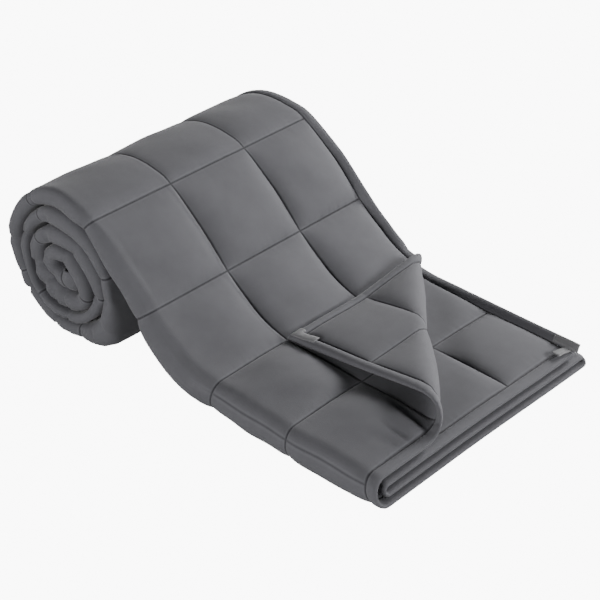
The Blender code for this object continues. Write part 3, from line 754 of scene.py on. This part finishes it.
# %% Placing a point of the flat cloth
STAGGER = 0.0145            # how far the lowest layer slips back at the open end
STAGGER_NEAR = 0.72         # part of it at the near side
STAGGER_ROWS = 2.5
DRIFT = ((0.0, -0.001), (1.8, 0.001), (2.6, 0.009), (3.5, 0.006), (4.4, -0.005), (5.0, -0.006))
NOSE_COLUMNS = (2, 3)       # on both sides of the outer near fold's seam


def place_cloth(u, v, w):
    """Points of the flat cloth, where they lie in the folded and rolled one."""
    y, height, ny, nh, angle = fold_across(u, v)
    on_nose = np.isin(np.minimum(v // CELL, COLUMNS - 1), NOSE_COLUMNS)
    w_in = w - np.where(on_nose & (angle > 0.0), band_shift(u, angle), 0.0)
    near_corner = np.maximum(u, v) < CORNER_SQUARES * CELL
    in_corner = near_corner & (flap_line(u, v) > -0.5 * math.pi * CURL_END)
    new_u, new_y, new_height = turn_corner(u, v, y, w * nh)
    new_u = np.where(in_corner, new_u, u)
    y = np.where(in_corner, new_y, y + ny * w_in)
    height = np.where(in_corner, new_height, height + nh * w_in)
    low = 1.0 - np.clip(height / top_level(u, y), 0.0, 1.0)
    fan = lerp(1.0, STAGGER_NEAR, nearness(y)) * smooth(u / CELL, STAGGER_ROWS, 0.0)
    new_u = new_u - STAGGER * low * fan
    x, z, nx, nz = along_path(new_u, path_x, path_z, path_nx, path_nz)
    size = np.hypot(nx, nz)
    y = y + look_up(DRIFT, new_u / CELL) * (y - NOSE_Y) / (LAYERS[0][1][0] - NOSE_Y)
    return np.column_stack([x + nx / size * height - MIDDLE_X, y - MIDDLE_Y,
                            np.maximum(0.0, z + nz / size * height)])


crossing = place_cloth(np.array([CELL]), np.array([2.0 * CELL]), np.zeros(1))[0]
print("first free crossing of seams at", crossing.round(3))

# %% [markdown]
# The mesh is a grid on each side of the flat cloth, and both sides share their
# outermost ring, which makes it closed. Its lines crowd together beside every
# seam, where the surface is steep, and where the cloth bends tightly. Squares
# that nobody sees get few lines, which keeps the whole blanket under the
# 200,000 triangles that one piece may have.

# %% Grid lines
HEM_LINES = (0.0, 0.0007, 0.0020, 0.0045, 0.0075, 0.0105, 0.0130, 0.0144)
SQUARE_LINES = (0.0, 0.0012, 0.0030, 0.0060, 0.0110, 0.0180, 0.0280, 0.0400, 0.0520)
MEDIUM_LINES = (0.0, 0.0015, 0.0060, 0.0150, 0.0300)
COARSE_LINES = (0.0, 0.0025, 0.0120, 0.0330)
HIDDEN_LINES = (0.0, 0.0050, 0.0250)
COLUMN_LINES = (*[SQUARE_LINES] * 3, *[COARSE_LINES] * 3, *[HIDDEN_LINES] * 3, COARSE_LINES,
                MEDIUM_LINES, SQUARE_LINES)
ROLLED_LINES = (0.0, 0.0040, 0.0160, 0.0300, 0.0460)
ROW_LINES = (*[SQUARE_LINES] * 6, *[ROLLED_LINES] * 8)
FOLD_LINES = (
    # column where the cloth folds, parts of the squares beside it, lines on each side
    (3, 0.20, 0.27, 11), (6, 0.12, 0.12, 5), (9, 0.12, 0.12, 5),
)
# lines of their own for the flat creases
CREASE_LINES = (0.2600, 0.2695, 0.2765, 0.2880, 0.2985, 0.3025, 0.3120, 0.3190, 0.3260)


def square_lines(start, stop, lines):
    """Lines in one square, laid out from both of its seams."""
    half = np.array(lines) / CELL
    parts = np.concatenate([half, [0.5], 1.0 - half[:0:-1]])
    return start + (stop - start) * parts


def grid_lines(lines_of):
    """All lines across the squares, hems included, from the lines of each square."""
    count = len(lines_of)
    lines = [np.array(HEM_LINES)]
    for k, own_lines in enumerate(lines_of):
        start = HEM if k == 0 else k * CELL
        stop = count * CELL - HEM if k == count - 1 else (k + 1) * CELL
        lines.append(square_lines(start, stop, own_lines))
    last_hem = [0.0, *(HEM - t for t in HEM_LINES[:0:-1]), HEM]
    return np.concatenate([*lines, count * CELL - HEM + np.array(last_hem)])


def with_creases(lines):
    """Three more lines at each crease of the near fold."""
    extra = [np.interp(turn, path_turns, path_row) * CELL + k * width
             for turn, _, _, _, width, _ in BAND_CREASES for k in (-1.0, 0.0, 1.0)]
    return np.sort(np.concatenate([lines, extra]))


def with_folds(lines):
    """More lines where the width is folded."""
    for seam, below, above, count in FOLD_LINES:
        low, high = (seam - below) * CELL, (seam + above) * CELL
        lines = lines[(lines < low) | (lines > high)]
        lines = np.concatenate([lines, np.linspace(low, seam * CELL, count, endpoint=False),
                                np.linspace(seam * CELL, high, count)])
    return np.sort(lines)


u_lines = with_creases(grid_lines(ROW_LINES))
v_lines = with_folds(np.sort(np.concatenate([grid_lines(COLUMN_LINES), CREASE_LINES])))
print(f"{len(u_lines)} x {len(v_lines)} lines, {4 * len(u_lines) * len(v_lines)} triangles")

# %% [markdown]
# The blanket itself. It could be one thick sheet from a Solidify modifier, but
# its two faces are puffed differently, so both are laid out here as points and
# joined round the rim. Each point keeps its flat place as UV, which is what the
# nap and the puckers of the cloth will follow.

# %% Quilt
def build_mesh(name, points, faces, uvs):
    """A mesh object, smooth shaded, with its flat place kept as UV."""
    data = bpy.data.meshes.new(name)
    data.from_pydata(points.tolist(), [], faces.tolist())
    layer = data.uv_layers.new(name="flat")
    corners = np.empty(len(data.loops), dtype=np.int32)
    data.loops.foreach_get("vertex_index", corners)
    layer.data.foreach_set("uv", uvs[corners].astype(np.float32).ravel())
    data.shade_smooth()
    return put_in_scene(name, data)


def quads(grid):
    """Faces between the numbered points of a grid."""
    return np.column_stack([grid[:-1, :-1].ravel(), grid[1:, :-1].ravel(),
                            grid[1:, 1:].ravel(), grid[:-1, 1:].ravel()])


def make_quilt():
    """Both sides of the flat cloth, joined round the rim and laid in place."""
    u, v = (grid.ravel() for grid in np.meshgrid(u_lines, v_lines, indexing="ij"))
    front_grid = np.arange(len(u)).reshape(len(u_lines), len(v_lines))
    inner = front_grid[1:-1, 1:-1].ravel()
    back_grid = front_grid.copy()
    back_grid[1:-1, 1:-1].flat = len(u) + np.arange(len(inner))
    shift = crease_height(u, v)
    front = half_thickness(u, v, True) + swelling(u, v) + shift
    back = -half_thickness(u[inner], v[inner], False) + shift[inner]
    all_u = np.concatenate([u, u[inner]])
    all_v = np.concatenate([v, v[inner]])
    points = place_cloth(all_u, all_v, np.concatenate([front, back]))
    faces = np.vstack([quads(front_grid), quads(back_grid)[:, ::-1]])
    return build_mesh("blanket", points, faces, np.column_stack([all_u, all_v]))


quilt = make_quilt()
print(quilt.name, len(quilt.data.polygons), "faces")

# %% [markdown]
# A short woven tape is sewn round two of the blanket's corners. Each is one
# strip of tape, folded once at the corner, so it is modelled as an L of thin
# closed mesh that lies on the hem and follows it.

# %% Corner tapes
TAPE_WIDTH = 0.0110
TAPE_THICK = 0.0012
TAPE_INSET = 0.0018         # from the edge of the hem
TAPE_SPACE = 0.0003
TAPE_STEP = 0.00275
TAPES = (
    # name, node that it stands for, far edge of the cloth, how far it reaches past the open end,
    # lengths of its legs along the long hem and the open end, rise of its second leg's end
    ("tape_turned_corner", "loop_turned_corner", False, 0.0, 0.0060, 0.0290, 0.0030),
    ("tape_second_layer", "loop_second_layer", True, 0.0090, 0.0160, 0.0280, 0.0034),
)


def tape_cells(reach, long_leg, end_leg):
    """Small rectangles of flat tape, counted in steps from the corner's inset."""
    wide, past, down, along = (round(size / TAPE_STEP)
                               for size in (TAPE_WIDTH, reach, long_leg, end_leg))
    cells = {(i, j) for i in range(wide) for j in range(wide + along)}
    return sorted(cells | {(i, j) for i in range(-past, wide + down) for j in range(wide)})


def make_tape(name, far_edge, reach, long_leg, end_leg, rise):
    """A closed sheet of tape on side B of the hem; returns it with its flat length."""
    cells = tape_cells(reach, long_leg, end_leg)
    corners = sorted({(i + a, j + b) for i, j in cells for a in (0, 1) for b in (0, 1)})
    number = {corner: k for k, corner in enumerate(corners)}
    count = len(corners)
    steps = np.array(corners, dtype=float)
    u = TAPE_INSET + steps[:, 0] * TAPE_STEP
    from_edge = TAPE_INSET + steps[:, 1] * TAPE_STEP
    v = WIDTH - from_edge if far_edge else from_edge
    inner = TAPE_INSET + TAPE_WIDTH
    low = HEM_HALF + TAPE_SPACE + rise * smooth(from_edge, inner, inner + end_leg)
    points = np.vstack([place_cloth(u, v, -low - TAPE_THICK), place_cloth(u, v, -low)])
    faces, rim = [], {}
    for i, j in cells:
        ring = [number[c] for c in ((i, j), (i + 1, j), (i + 1, j + 1), (i, j + 1))]
        faces.append([k + count for k in ring])
        faces.append(ring[::-1])
        for a, b in zip(ring, ring[1:] + ring[:1]):
            if not rim.pop((b, a), None):
                rim[(a, b)] = True
    faces += [[a, b, b + count, a + count] for a, b in rim]
    faces = np.array(faces)
    if far_edge:
        faces = faces[:, ::-1]
    piece = build_mesh(name, points, faces, np.tile(np.column_stack([u, v]), (2, 1)))
    return piece, len(cells) * TAPE_STEP ** 2 / TAPE_WIDTH


tapes = []
for tape_name, stands_for, *sizes in TAPES:
    tape, tape_length = make_tape(tape_name, *sizes)
    tapes.append((tape, stands_for, tape_length))
    print(tape.name, f"{tape_length * 1000:.0f} mm long")

# %% [markdown]
# Thread holds the squares. On the real blanket each seam is a row of short
# stitches sunk into a groove. First the seams that show are drawn as lines of
# edges on the cloth, each point with the way out of the cloth beside it.

# %% Lines of the seams
GUIDE_STEP = 0.003
HEM_STITCHES = (0.0132, 0.0148)         # two rows, from the edge
SUNK = 0.0002
ABOVE = 0.001               # a point this far over the cloth gives the way out
UNCOVERED = 2.0 * CELL      # how far the cloth shows beside the turned corner
ROLL_TOP = 6.4 * CELL       # where the top goes out of sight
ROLLED_ROW = 7              # from here on only the band of the near fold shows
NOSE_FROM, NOSE_TO = 2.8 * CELL, 3.15 * CELL
NOSE_SEAM_TO = 2.2 * CELL
LAST_HEM_TO = 4.0 * CELL


def seam_guides():
    """Flat lines (u from, u to, v from, v to, side A) along which thread shows."""
    guides = []

    def down(v, start, stop, side_a):
        guides.append((start, stop, v, v, side_a))

    def across(u, start, stop, side_a):
        guides.append((u, u, start, stop, side_a))

    for k in (1, 2):
        down(k * CELL, HEM, ROLL_TOP, True)
        down(k * CELL, HEM, (3 - k) * CELL, False)
        across(k * CELL, HEM, (3 - k) * CELL, False)
        down((9 + k) * CELL, HEM, UNCOVERED, False)
    for k in range(1, ROWS):
        across(k * CELL, HEM + GUIDE_STEP if k < ROLLED_ROW else NOSE_FROM, NOSE_TO, True)
    down(NOSE_SEAM, HEM, NOSE_SEAM_TO, True)
    for edge in HEM_STITCHES:
        across(edge, HEM, WIDTH - HEM, True)
        across(edge, HEM, WIDTH - HEM, False)
        down(edge, HEM, ROLL_TOP, True)
        down(edge, HEM, UNCOVERED, False)
        down(WIDTH - edge, HEM, LAST_HEM_TO, False)
    return guides


def make_guides():
    """One mesh of edges along all the seams, with the cloth's outward direction."""
    points, edges, ups = [], [], []
    for u0, u1, v0, v1, side_a in seam_guides():
        count = max(2, round(max(abs(u1 - u0), abs(v1 - v0)) / GUIDE_STEP))
        u, v = np.linspace(u0, u1, count), np.linspace(v0, v1, count)
        face = half_thickness(u, v, side_a)
        sign = 1.0 if side_a else -1.0
        place = place_cloth(u, v, sign * (face - SUNK))
        above = place_cloth(u, v, sign * (face + ABOVE))
        edges += [(len(points) + k, len(points) + k + 1) for k in range(count - 1)]
        points += place.tolist()
        ups += (above - place).tolist()
    data = bpy.data.meshes.new("seam_lines")
    data.from_pydata(points, edges, [])
    up = data.attributes.new("up", "FLOAT_VECTOR", "POINT")
    up.data.foreach_set("vector", np.array(ups, dtype=np.float32).ravel())
    return put_in_scene("seam_lines", data)


guide = make_guides()
print(len(guide.data.edges), "edges along the seams")

# %% [markdown]
# Trees of nodes are built in the script, both for the stitches and for the
# finishes. A few helpers keep that short: one adds a node with its values and
# links, one does sums, and one makes a group with named sockets.

# %% Helpers for nodes
def add(tree, kind, inputs=None, **settings):
    """A new node, with its settings, input values and links."""
    node = tree.nodes.new(kind)
    for name, value in settings.items():
        setattr(node, name, value)
    for name, value in (inputs or {}).items():
        if isinstance(value, bpy.types.NodeSocket):
            tree.links.new(value, node.inputs[name])
        else:
            node.inputs[name].default_value = value
    return node


def sum_up(tree, operation, *values):
    """The result of a Math node."""
    return add(tree, "ShaderNodeMath", dict(enumerate(values)), operation=operation).outputs[0]


def new_group(name, kind, inputs, outputs):
    """A node group with named sockets; returns it and the sockets that are given to it."""
    tree = bpy.data.node_groups.new(name, kind)
    for way, sockets in (("OUTPUT", outputs), ("INPUT", inputs)):
        for socket, socket_kind in sockets:
            tree.interface.new_socket(socket, in_out=way, socket_type="NodeSocket" + socket_kind)
    return tree, add(tree, "NodeGroupInput").outputs


print("node helpers:", add.__name__, sum_up.__name__, new_group.__name__)

# %% [markdown]
# Geometry Nodes lay the stitches. The lines are resampled at the stitch length,
# and a small bead of thread is set on each point, turned along the seam. A tree
# of nodes suits what repeats: its stitch can be made longer or finer in one
# place. The modifier's result is kept as a plain mesh.

# %% Stitch tree
BEAD_SIDES, BEAD_RINGS = 5, 3
STITCH_VARIES = (0.85, 1.1)  # of its length


def stitch_tree():
    """Geometry Nodes that set stitches along edges."""
    tree, given = new_group(
        "thread_stitches", "GeometryNodeTree",
        [("Geometry", "Geometry"), ("Pitch", "Float"), ("Length", "Float"),
         ("Thickness", "Float"), ("Seed", "Int"), ("Thread", "Material")],
        [("Geometry", "Geometry")])
    curve = add(tree, "GeometryNodeMeshToCurve", {"Mesh": given["Geometry"]})
    even = add(tree, "GeometryNodeResampleCurve",
               {"Curve": curve.outputs["Curve"], "Length": given["Pitch"]}, mode="LENGTH")
    bead = add(tree, "GeometryNodeMeshUVSphere",
               {"Segments": BEAD_SIDES, "Rings": BEAD_RINGS, "Radius": 0.5})
    up = add(tree, "GeometryNodeInputNamedAttribute", {"Name": "up"}, data_type="FLOAT_VECTOR")
    tangent = add(tree, "GeometryNodeInputTangent")
    turn = add(tree, "FunctionNodeAxesToRotation",
               {"Primary Axis": up.outputs["Attribute"],
                "Secondary Axis": tangent.outputs["Tangent"]}, primary_axis="Z", secondary_axis="X")
    vary = add(tree, "FunctionNodeRandomValue",
               {2: STITCH_VARIES[0], 3: STITCH_VARIES[1], "Seed": given["Seed"]}, data_type="FLOAT")
    long = sum_up(tree, "MULTIPLY", given["Length"], vary.outputs[1])
    size = add(tree, "ShaderNodeCombineXYZ",
               {"X": long, "Y": given["Thickness"], "Z": given["Thickness"]})
    beads = add(tree, "GeometryNodeInstanceOnPoints", {
        "Points": even.outputs["Curve"], "Instance": bead.outputs["Mesh"],
        "Rotation": turn.outputs["Rotation"], "Scale": size.outputs["Vector"]})
    smoothed = add(tree, "GeometryNodeSetShadeSmooth", {"Geometry": beads.outputs["Instances"]})
    real = add(tree, "GeometryNodeRealizeInstances", {"Geometry": smoothed.outputs["Geometry"]})
    dressed = add(tree, "GeometryNodeSetMaterial",
                  {"Geometry": real.outputs["Geometry"], "Material": given["Thread"]})
    add(tree, "NodeGroupOutput", {"Geometry": dressed.outputs["Geometry"]})
    return tree


def run_tree(guide, tree, name, values):
    """Evaluates the tree on a guide and keeps the result as a plain mesh object."""
    modifier = guide.modifiers.new("nodes", "NODES")
    modifier.node_group = tree
    for item in tree.interface.items_tree:
        if item.in_out == "INPUT" and item.name in values:
            modifier[item.identifier] = values[item.name]
    depsgraph = bpy.context.evaluated_depsgraph_get()
    data = bpy.data.meshes.new_from_object(guide.evaluated_get(depsgraph))
    data.name = name
    guide.modifiers.remove(modifier)
    bpy.data.objects.remove(guide, do_unlink=True)
    return put_in_scene(name, data)


stitching = stitch_tree()
print(stitching.name, len(stitching.nodes), "nodes")

# %% [markdown]
# The cloth is brushed microfibre. Close up it is a fine, soft nap with a faint
# mottling where the fibres lie in other directions; from further away it is a
# dark, slightly cool grey with a soft sheen along its edges. The nap is a
# group of nodes, because the tapes and the thread have it too, each with
# values of its own.

# %% Nap
def nap_group():
    """Mottling and fine fibres; gives a tone around 1 and a height from 0 to 1."""
    tree, given = new_group(
        "brushed_nap", "ShaderNodeTree",
        [("Place", "Vector"), ("Fibre Scale", "Float"), ("Mottle Scale", "Float"),
         ("Mottle Amount", "Float")],
        [("Tone", "Float"), ("Height", "Float")])
    fibre, mottle = (
        add(tree, "ShaderNodeTexNoise", {"Vector": given["Place"], "Scale": given[scale],
                                         "Detail": detail, "Roughness": roughness}).outputs["Fac"]
        for scale, detail, roughness in (("Fibre Scale", 3.0, 0.65), ("Mottle Scale", 2.0, 0.5)))
    middle = sum_up(tree, "ADD", sum_up(tree, "ADD", mottle, fibre), -1.0)
    tone = sum_up(tree, "MULTIPLY_ADD", middle, given["Mottle Amount"], 1.0)
    add(tree, "NodeGroupOutput", {"Tone": tone, "Height": fibre})
    return tree


nap = nap_group()
print(nap.name, len(nap.nodes), "nodes")

# %% [markdown]
# Beside every seam the thread gathers the cloth into small puckers that stand square to it. The
# mesh keeps how far each point is from the nearest seam each way, so the puckers can fade out,
# painted shade can darken the seam itself and a painted highlight can lighten the band beside it.
# The near fold's seam gets less of the painted shade than the others, and its painted shade and
# highlight go out of sight up the slope; no seam's painted marks run on over a hem.

# %% Distances to the seams
NOSE_BAND = 0.4 * CELL
SEAM_HIDES = (1.7 * CELL, 2.7 * CELL)   # where the near fold's seam goes out of sight
SEAM_SOFT = 0.0008                      # least distance on that seam before it does
HIDDEN_DISTANCE = 0.006
HEM_INSIDE = 0.0002


def seam_distance(place, count):
    """From the nearest seam or hem seam, in metres."""
    seams = np.array([HEM, *(k * CELL for k in range(1, count)), count * CELL - HEM])
    return np.abs(place[:, None] - seams[None, :]).min(axis=1)


def keep_distance(name, place, count, side, side_length, least=0.0):
    """Keeps the distance on the mesh, never under the least one."""
    in_hem = np.minimum(side, side_length - side) < HEM - HEM_INSIDE
    distance = np.maximum(seam_distance(place, count), HIDDEN_DISTANCE * in_hem)
    kept = quilt.data.attributes.new(name, "FLOAT", "CORNER")
    kept.data.foreach_set("value", np.maximum(distance, least).astype(np.float32))


flat = np.empty(len(quilt.data.loops) * 2, dtype=np.float32)
quilt.data.uv_layers["flat"].data.foreach_get("uv", flat)
flat_u, flat_v = flat.reshape(-1, 2).T
on_nose = np.abs(flat_v - NOSE_SEAM) < NOSE_BAND
hides = HIDDEN_DISTANCE * smooth(flat_u, *SEAM_HIDES)
keep_distance("to_cross_seam", flat_u, ROWS, flat_v, WIDTH)
keep_distance("to_long_seam", flat_v, COLUMNS, flat_u, LENGTH,
              least=on_nose * np.maximum(hides, SEAM_SOFT))
print("distances kept on", len(flat_u), "corners")

# %% [markdown]
# Cloth, tape and thread are one kind of finish: a rough dark grey whose tone
# comes from the nap and whose relief is a bump. What they share is put into
# helpers, and plain values go straight onto the shader's own sockets.

# %% Helpers for finishes
def new_material(name, values):
    """A material with plain values on its shader; returns it, its nodes and the shader."""
    material = bpy.data.materials.new(name)
    material.use_nodes = True
    shader = material.node_tree.nodes["Principled BSDF"]
    for socket, value in values.items():
        shader.inputs[socket].default_value = value
    return material, material.node_tree, shader


def add_nap(tree, place, fibre_scale, mottle_scale, mottle_amount):
    """The nap in a material, with that material's values."""
    return add(tree, "ShaderNodeGroup",
               {"Place": place, "Fibre Scale": fibre_scale, "Mottle Scale": mottle_scale,
                "Mottle Amount": mottle_amount}, node_tree=nap).outputs


def add_bump(tree, height, strength, distance, under=None):
    """A Bump node, over another one if that is given."""
    inputs = {"Height": height, "Strength": strength, "Distance": distance}
    if under:
        inputs["Normal"] = under
    return add(tree, "ShaderNodeBump", inputs).outputs["Normal"]


def ramp(tree, value, start, stop, low, high, shape="LINEAR"):
    """Goes from low to high while the value goes from start to stop."""
    return add(tree, "ShaderNodeMapRange",
               {"Value": value, "From Min": start, "From Max": stop, "To Min": low,
                "To Max": high}, interpolation_type=shape).outputs["Result"]


def times_tone(tree, colour, tone):
    """A colour made lighter or darker."""
    scaled = add(tree, "ShaderNodeVectorMath", {0: colour, "Scale": tone}, operation="SCALE")
    return scaled.outputs[0]


print("finish helpers:", new_material.__name__, add_nap.__name__, add_bump.__name__, ramp.__name__)

# %% [markdown]
# The cloth's own finish, with light and shade painted into its grey: painted shade darkens it in
# the groove of each seam, and a painted highlight lightens a narrow band just beside the groove,
# along the edge of the square. Puckers and fibres are far below a millimetre, so they are bump and
# not geometry.

# %% Cloth material
CLOTH_COLOUR = (0.109, 0.109, 0.119, 1.0)
# painted shade: the cloth's grey darkens to this in the groove of each seam, where shade falls
CLOTH_PAINTED_SHADE = (0.036, 0.036, 0.040, 1.0)     # in the seams' grooves
GROOVE = (0.0003, 0.0017)                   # distances from a seam over which it ends
# painted highlight: a narrow band beside each seam is made lighter, where light catches the edge of
# the square
RIM = (0.0014, 0.0022, 0.0042)              # and over which the edge beside it is lighter
PAINTED_RIM_HIGHLIGHT = 0.15
PUCKER_FADES = 0.022
PUCKER_WAVES = (140.0, 24.0)                # along a seam, and square to it
PUCKER_HEIGHT = 0.0004
FIBRE_HEIGHT = 0.0003


def pucker_height(tree, place, distance, stretch):
    """Puckers that stand square to one direction of seams and fade away from them."""
    laid = add(tree, "ShaderNodeVectorMath", {0: place, 1: (*stretch, 1.0)}, operation="MULTIPLY")
    waves = add(tree, "ShaderNodeTexNoise", {"Vector": laid.outputs[0], "Scale": 1.0, "Detail": 1.0,
                                             "Roughness": 0.4})
    fade = ramp(tree, distance, 0.0, PUCKER_FADES, 1.0, 0.0, "SMOOTHERSTEP")
    return sum_up(tree, "MULTIPLY", waves.outputs["Fac"], fade)


def cloth_material():
    """Brushed microfibre with painted shade in its seams' grooves, a painted highlight beside them,
    and puckers.
    """
    material, tree, shader = new_material("brushed_microfibre", {
        "Roughness": 0.82, "Specular IOR Level": 0.25, "Sheen Weight": 0.15,
        "Sheen Roughness": 0.45})
    place = add(tree, "ShaderNodeUVMap", uv_map="flat").outputs["UV"]
    cross = add(tree, "ShaderNodeAttribute", attribute_name="to_cross_seam").outputs["Fac"]
    long = add(tree, "ShaderNodeAttribute", attribute_name="to_long_seam").outputs["Fac"]
    fibres = add_nap(tree, place, fibre_scale=900.0, mottle_scale=55.0, mottle_amount=0.16)
    nearest = sum_up(tree, "MINIMUM", cross, long)
    # painted shade: the grey is mixed towards the darker colour close to each seam's groove
    # sockets 6, 7 and 2 are the two colours and the result of a colour mix
    groove_painted_shade = add(tree, "ShaderNodeMix", {"Factor": ramp(tree, nearest, *GROOVE, 1.0, 0.0)},
                 data_type="RGBA")
    groove_painted_shade.inputs[6].default_value, groove_painted_shade.inputs[7].default_value = CLOTH_COLOUR, CLOTH_PAINTED_SHADE
    # painted highlight: the grey is made lighter on a narrow band just beside each seam
    rim = sum_up(tree, "MULTIPLY_ADD", ramp(tree, nearest, *RIM[:2], 0.0, PAINTED_RIM_HIGHLIGHT),
                 ramp(tree, nearest, *RIM[1:], 1.0, 0.0, "SMOOTHSTEP"), 1.0)
    shade = sum_up(tree, "MULTIPLY", rim, fibres["Tone"])
    tree.links.new(times_tone(tree, groove_painted_shade.outputs[2], shade), shader.inputs["Base Color"])
    puckers = sum_up(tree, "ADD", pucker_height(tree, place, long, PUCKER_WAVES),
                     pucker_height(tree, place, cross, PUCKER_WAVES[::-1]))
    soft = add_bump(tree, puckers, strength=1.0, distance=PUCKER_HEIGHT)
    fine = add_bump(tree, fibres["Height"], strength=0.6, distance=FIBRE_HEIGHT, under=soft)
    tree.links.new(fine, shader.inputs["Normal"])
    return material


cloth = cloth_material()
quilt.data.materials.append(cloth)
print("material", cloth.name)

# %% [markdown]
# The tapes are woven with fine ribs, a little lighter than the cloth and with a
# finer nap. The thread is a plain spun polyester, a little darker than the
# cloth, so that a seam reads as a dark line.

# %% Tape and thread
TAPE_COLOUR = (0.172, 0.172, 0.178)
THREAD_COLOUR = (0.085, 0.085, 0.092)
RIB_SCALE = 900.0 / math.tau * 2.0
RIB_HEIGHT = 0.0004
STITCHES = {"Pitch": 0.0036, "Length": 0.0026, "Thickness": 0.00055, "Seed": 3}


def tape_material():
    """Ribbed woven tape."""
    material, tree, shader = new_material("ribbed_tape", {"Roughness": 0.75, "Sheen Weight": 0.15})
    place = add(tree, "ShaderNodeUVMap", uv_map="flat").outputs["UV"]
    ribs = add(tree, "ShaderNodeTexWave", {"Vector": place, "Scale": RIB_SCALE, "Distortion": 0.4,
                                           "Detail": 1.0}, bands_direction="DIAGONAL")
    weave = add_nap(tree, place, fibre_scale=2600.0, mottle_scale=160.0, mottle_amount=0.22)
    tree.links.new(times_tone(tree, TAPE_COLOUR, weave["Tone"]), shader.inputs["Base Color"])
    raised = add_bump(tree, ribs.outputs["Fac"], strength=0.7, distance=RIB_HEIGHT)
    tree.links.new(raised, shader.inputs["Normal"])
    return material


def thread_material():
    """Spun thread, dull and dark."""
    material, tree, shader = new_material("spun_thread", {"Roughness": 0.60})
    place = add(tree, "ShaderNodeTexCoord").outputs["Object"]
    spun = add_nap(tree, place, fibre_scale=3000.0, mottle_scale=300.0, mottle_amount=0.30)
    tree.links.new(times_tone(tree, THREAD_COLOUR, spun["Tone"]), shader.inputs["Base Color"])
    return material


ribbed = tape_material()
for tape, _, _ in tapes:
    tape.data.materials.append(ribbed)
thread = thread_material()
stitches = run_tree(guide, stitching, "seam_stitches", {**STITCHES, "Thread": thread})
print(stitches.name, len(stitches.data.polygons), "faces")

# %% [markdown]
# The photograph was taken in a bright white studio, and the blanket casts no
# shadow that shows. Disk lamps stand low round it: the ones behind and to the
# right rake over the squares, so that each seam has a lit and a dark side, and
# the other two fill in the near side and the roll. The floor and the world glow
# white for the camera alone, so they hardly light the cloth.

# %% Floor and lights
FLOOR_HALF = 14.0
FLOOR_COLOUR = (0.55, 0.55, 0.55, 1.0)
FLOOR_GLOW = 11.0           # brightness that the camera sees
FLOOR_GLOW_PART = 0.86
LAMP_AWAY = 3.2
LAMPS = (
    # name, direction from +X and height in degrees, size, power
    ("lamp_behind", 88.0, 20.0, 1.0, 142.0),
    ("lamp_right", 34.0, 19.0, 1.0, 88.0),
    ("lamp_front", 278.0, 14.0, 1.5, 80.0),
    ("lamp_roll_side", 196.0, 18.0, 1.5, 21.0),
)
LAMP_AIM = (0.0, 0.0, 0.08)
SURROUND = 0.02             # what the world does add


def make_floor():
    """A plain pale floor that glows where the camera looks at it."""
    points = FLOOR_HALF * np.array([(-1, -1, 0), (1, -1, 0), (1, 1, 0), (-1, 1, 0)])
    floor = build_mesh("floor", points, np.array([(0, 1, 2, 3)]), points[:, :2])
    material, tree, shader = new_material("white_floor", {"Base Color": FLOOR_COLOUR,
                                                          "Roughness": 0.9})
    seen = add(tree, "ShaderNodeLightPath").outputs["Is Camera Ray"]
    part = sum_up(tree, "MULTIPLY", seen, FLOOR_GLOW_PART)
    glow = add(tree, "ShaderNodeEmission", {"Strength": FLOOR_GLOW}).outputs["Emission"]
    mixed = add(tree, "ShaderNodeMixShader", {0: part, 1: shader.outputs["BSDF"], 2: glow})
    tree.links.new(mixed.outputs[0], tree.nodes["Material Output"].inputs["Surface"])
    floor.data.materials.append(material)
    return floor


def make_lamp(name, turn, up, size, power):
    """A soft disk lamp that looks at the blanket."""
    way = direction(math.radians(turn), math.radians(up))
    data = bpy.data.lights.new(name, "AREA")
    data.shape = "DISK"
    data.size = size
    data.energy = power
    put_in_scene(name, data).matrix_world = looking(np.array(LAMP_AIM) + LAMP_AWAY * way, -way)


def make_world():
    """The white round the floor."""
    world = bpy.data.worlds.new("studio")
    world.use_nodes = True
    background = world.node_tree.nodes["Background"].inputs
    background["Color"].default_value = (1.0, 1.0, 1.0, 1.0)
    seen = add(world.node_tree, "ShaderNodeLightPath").outputs["Is Camera Ray"]
    bright = sum_up(world.node_tree, "MULTIPLY_ADD", seen, FLOOR_GLOW * FLOOR_GLOW_PART, SURROUND)
    world.node_tree.links.new(bright, background["Strength"])
    bpy.context.scene.world = world


floor = make_floor()
for lamp in LAMPS:
    make_lamp(*lamp)
make_world()
print(len(LAMPS), "lamps")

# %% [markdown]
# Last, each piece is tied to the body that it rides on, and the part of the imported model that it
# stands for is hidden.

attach(quilt, "root")
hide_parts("quilt")
for tape, stands_for, tape_length in tapes:
    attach(tape, "root")
    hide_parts(stands_for)
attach(stitches, "root")
print("pieces:", quilt.name, *(tape.name for tape, _, _ in tapes), stitches.name)
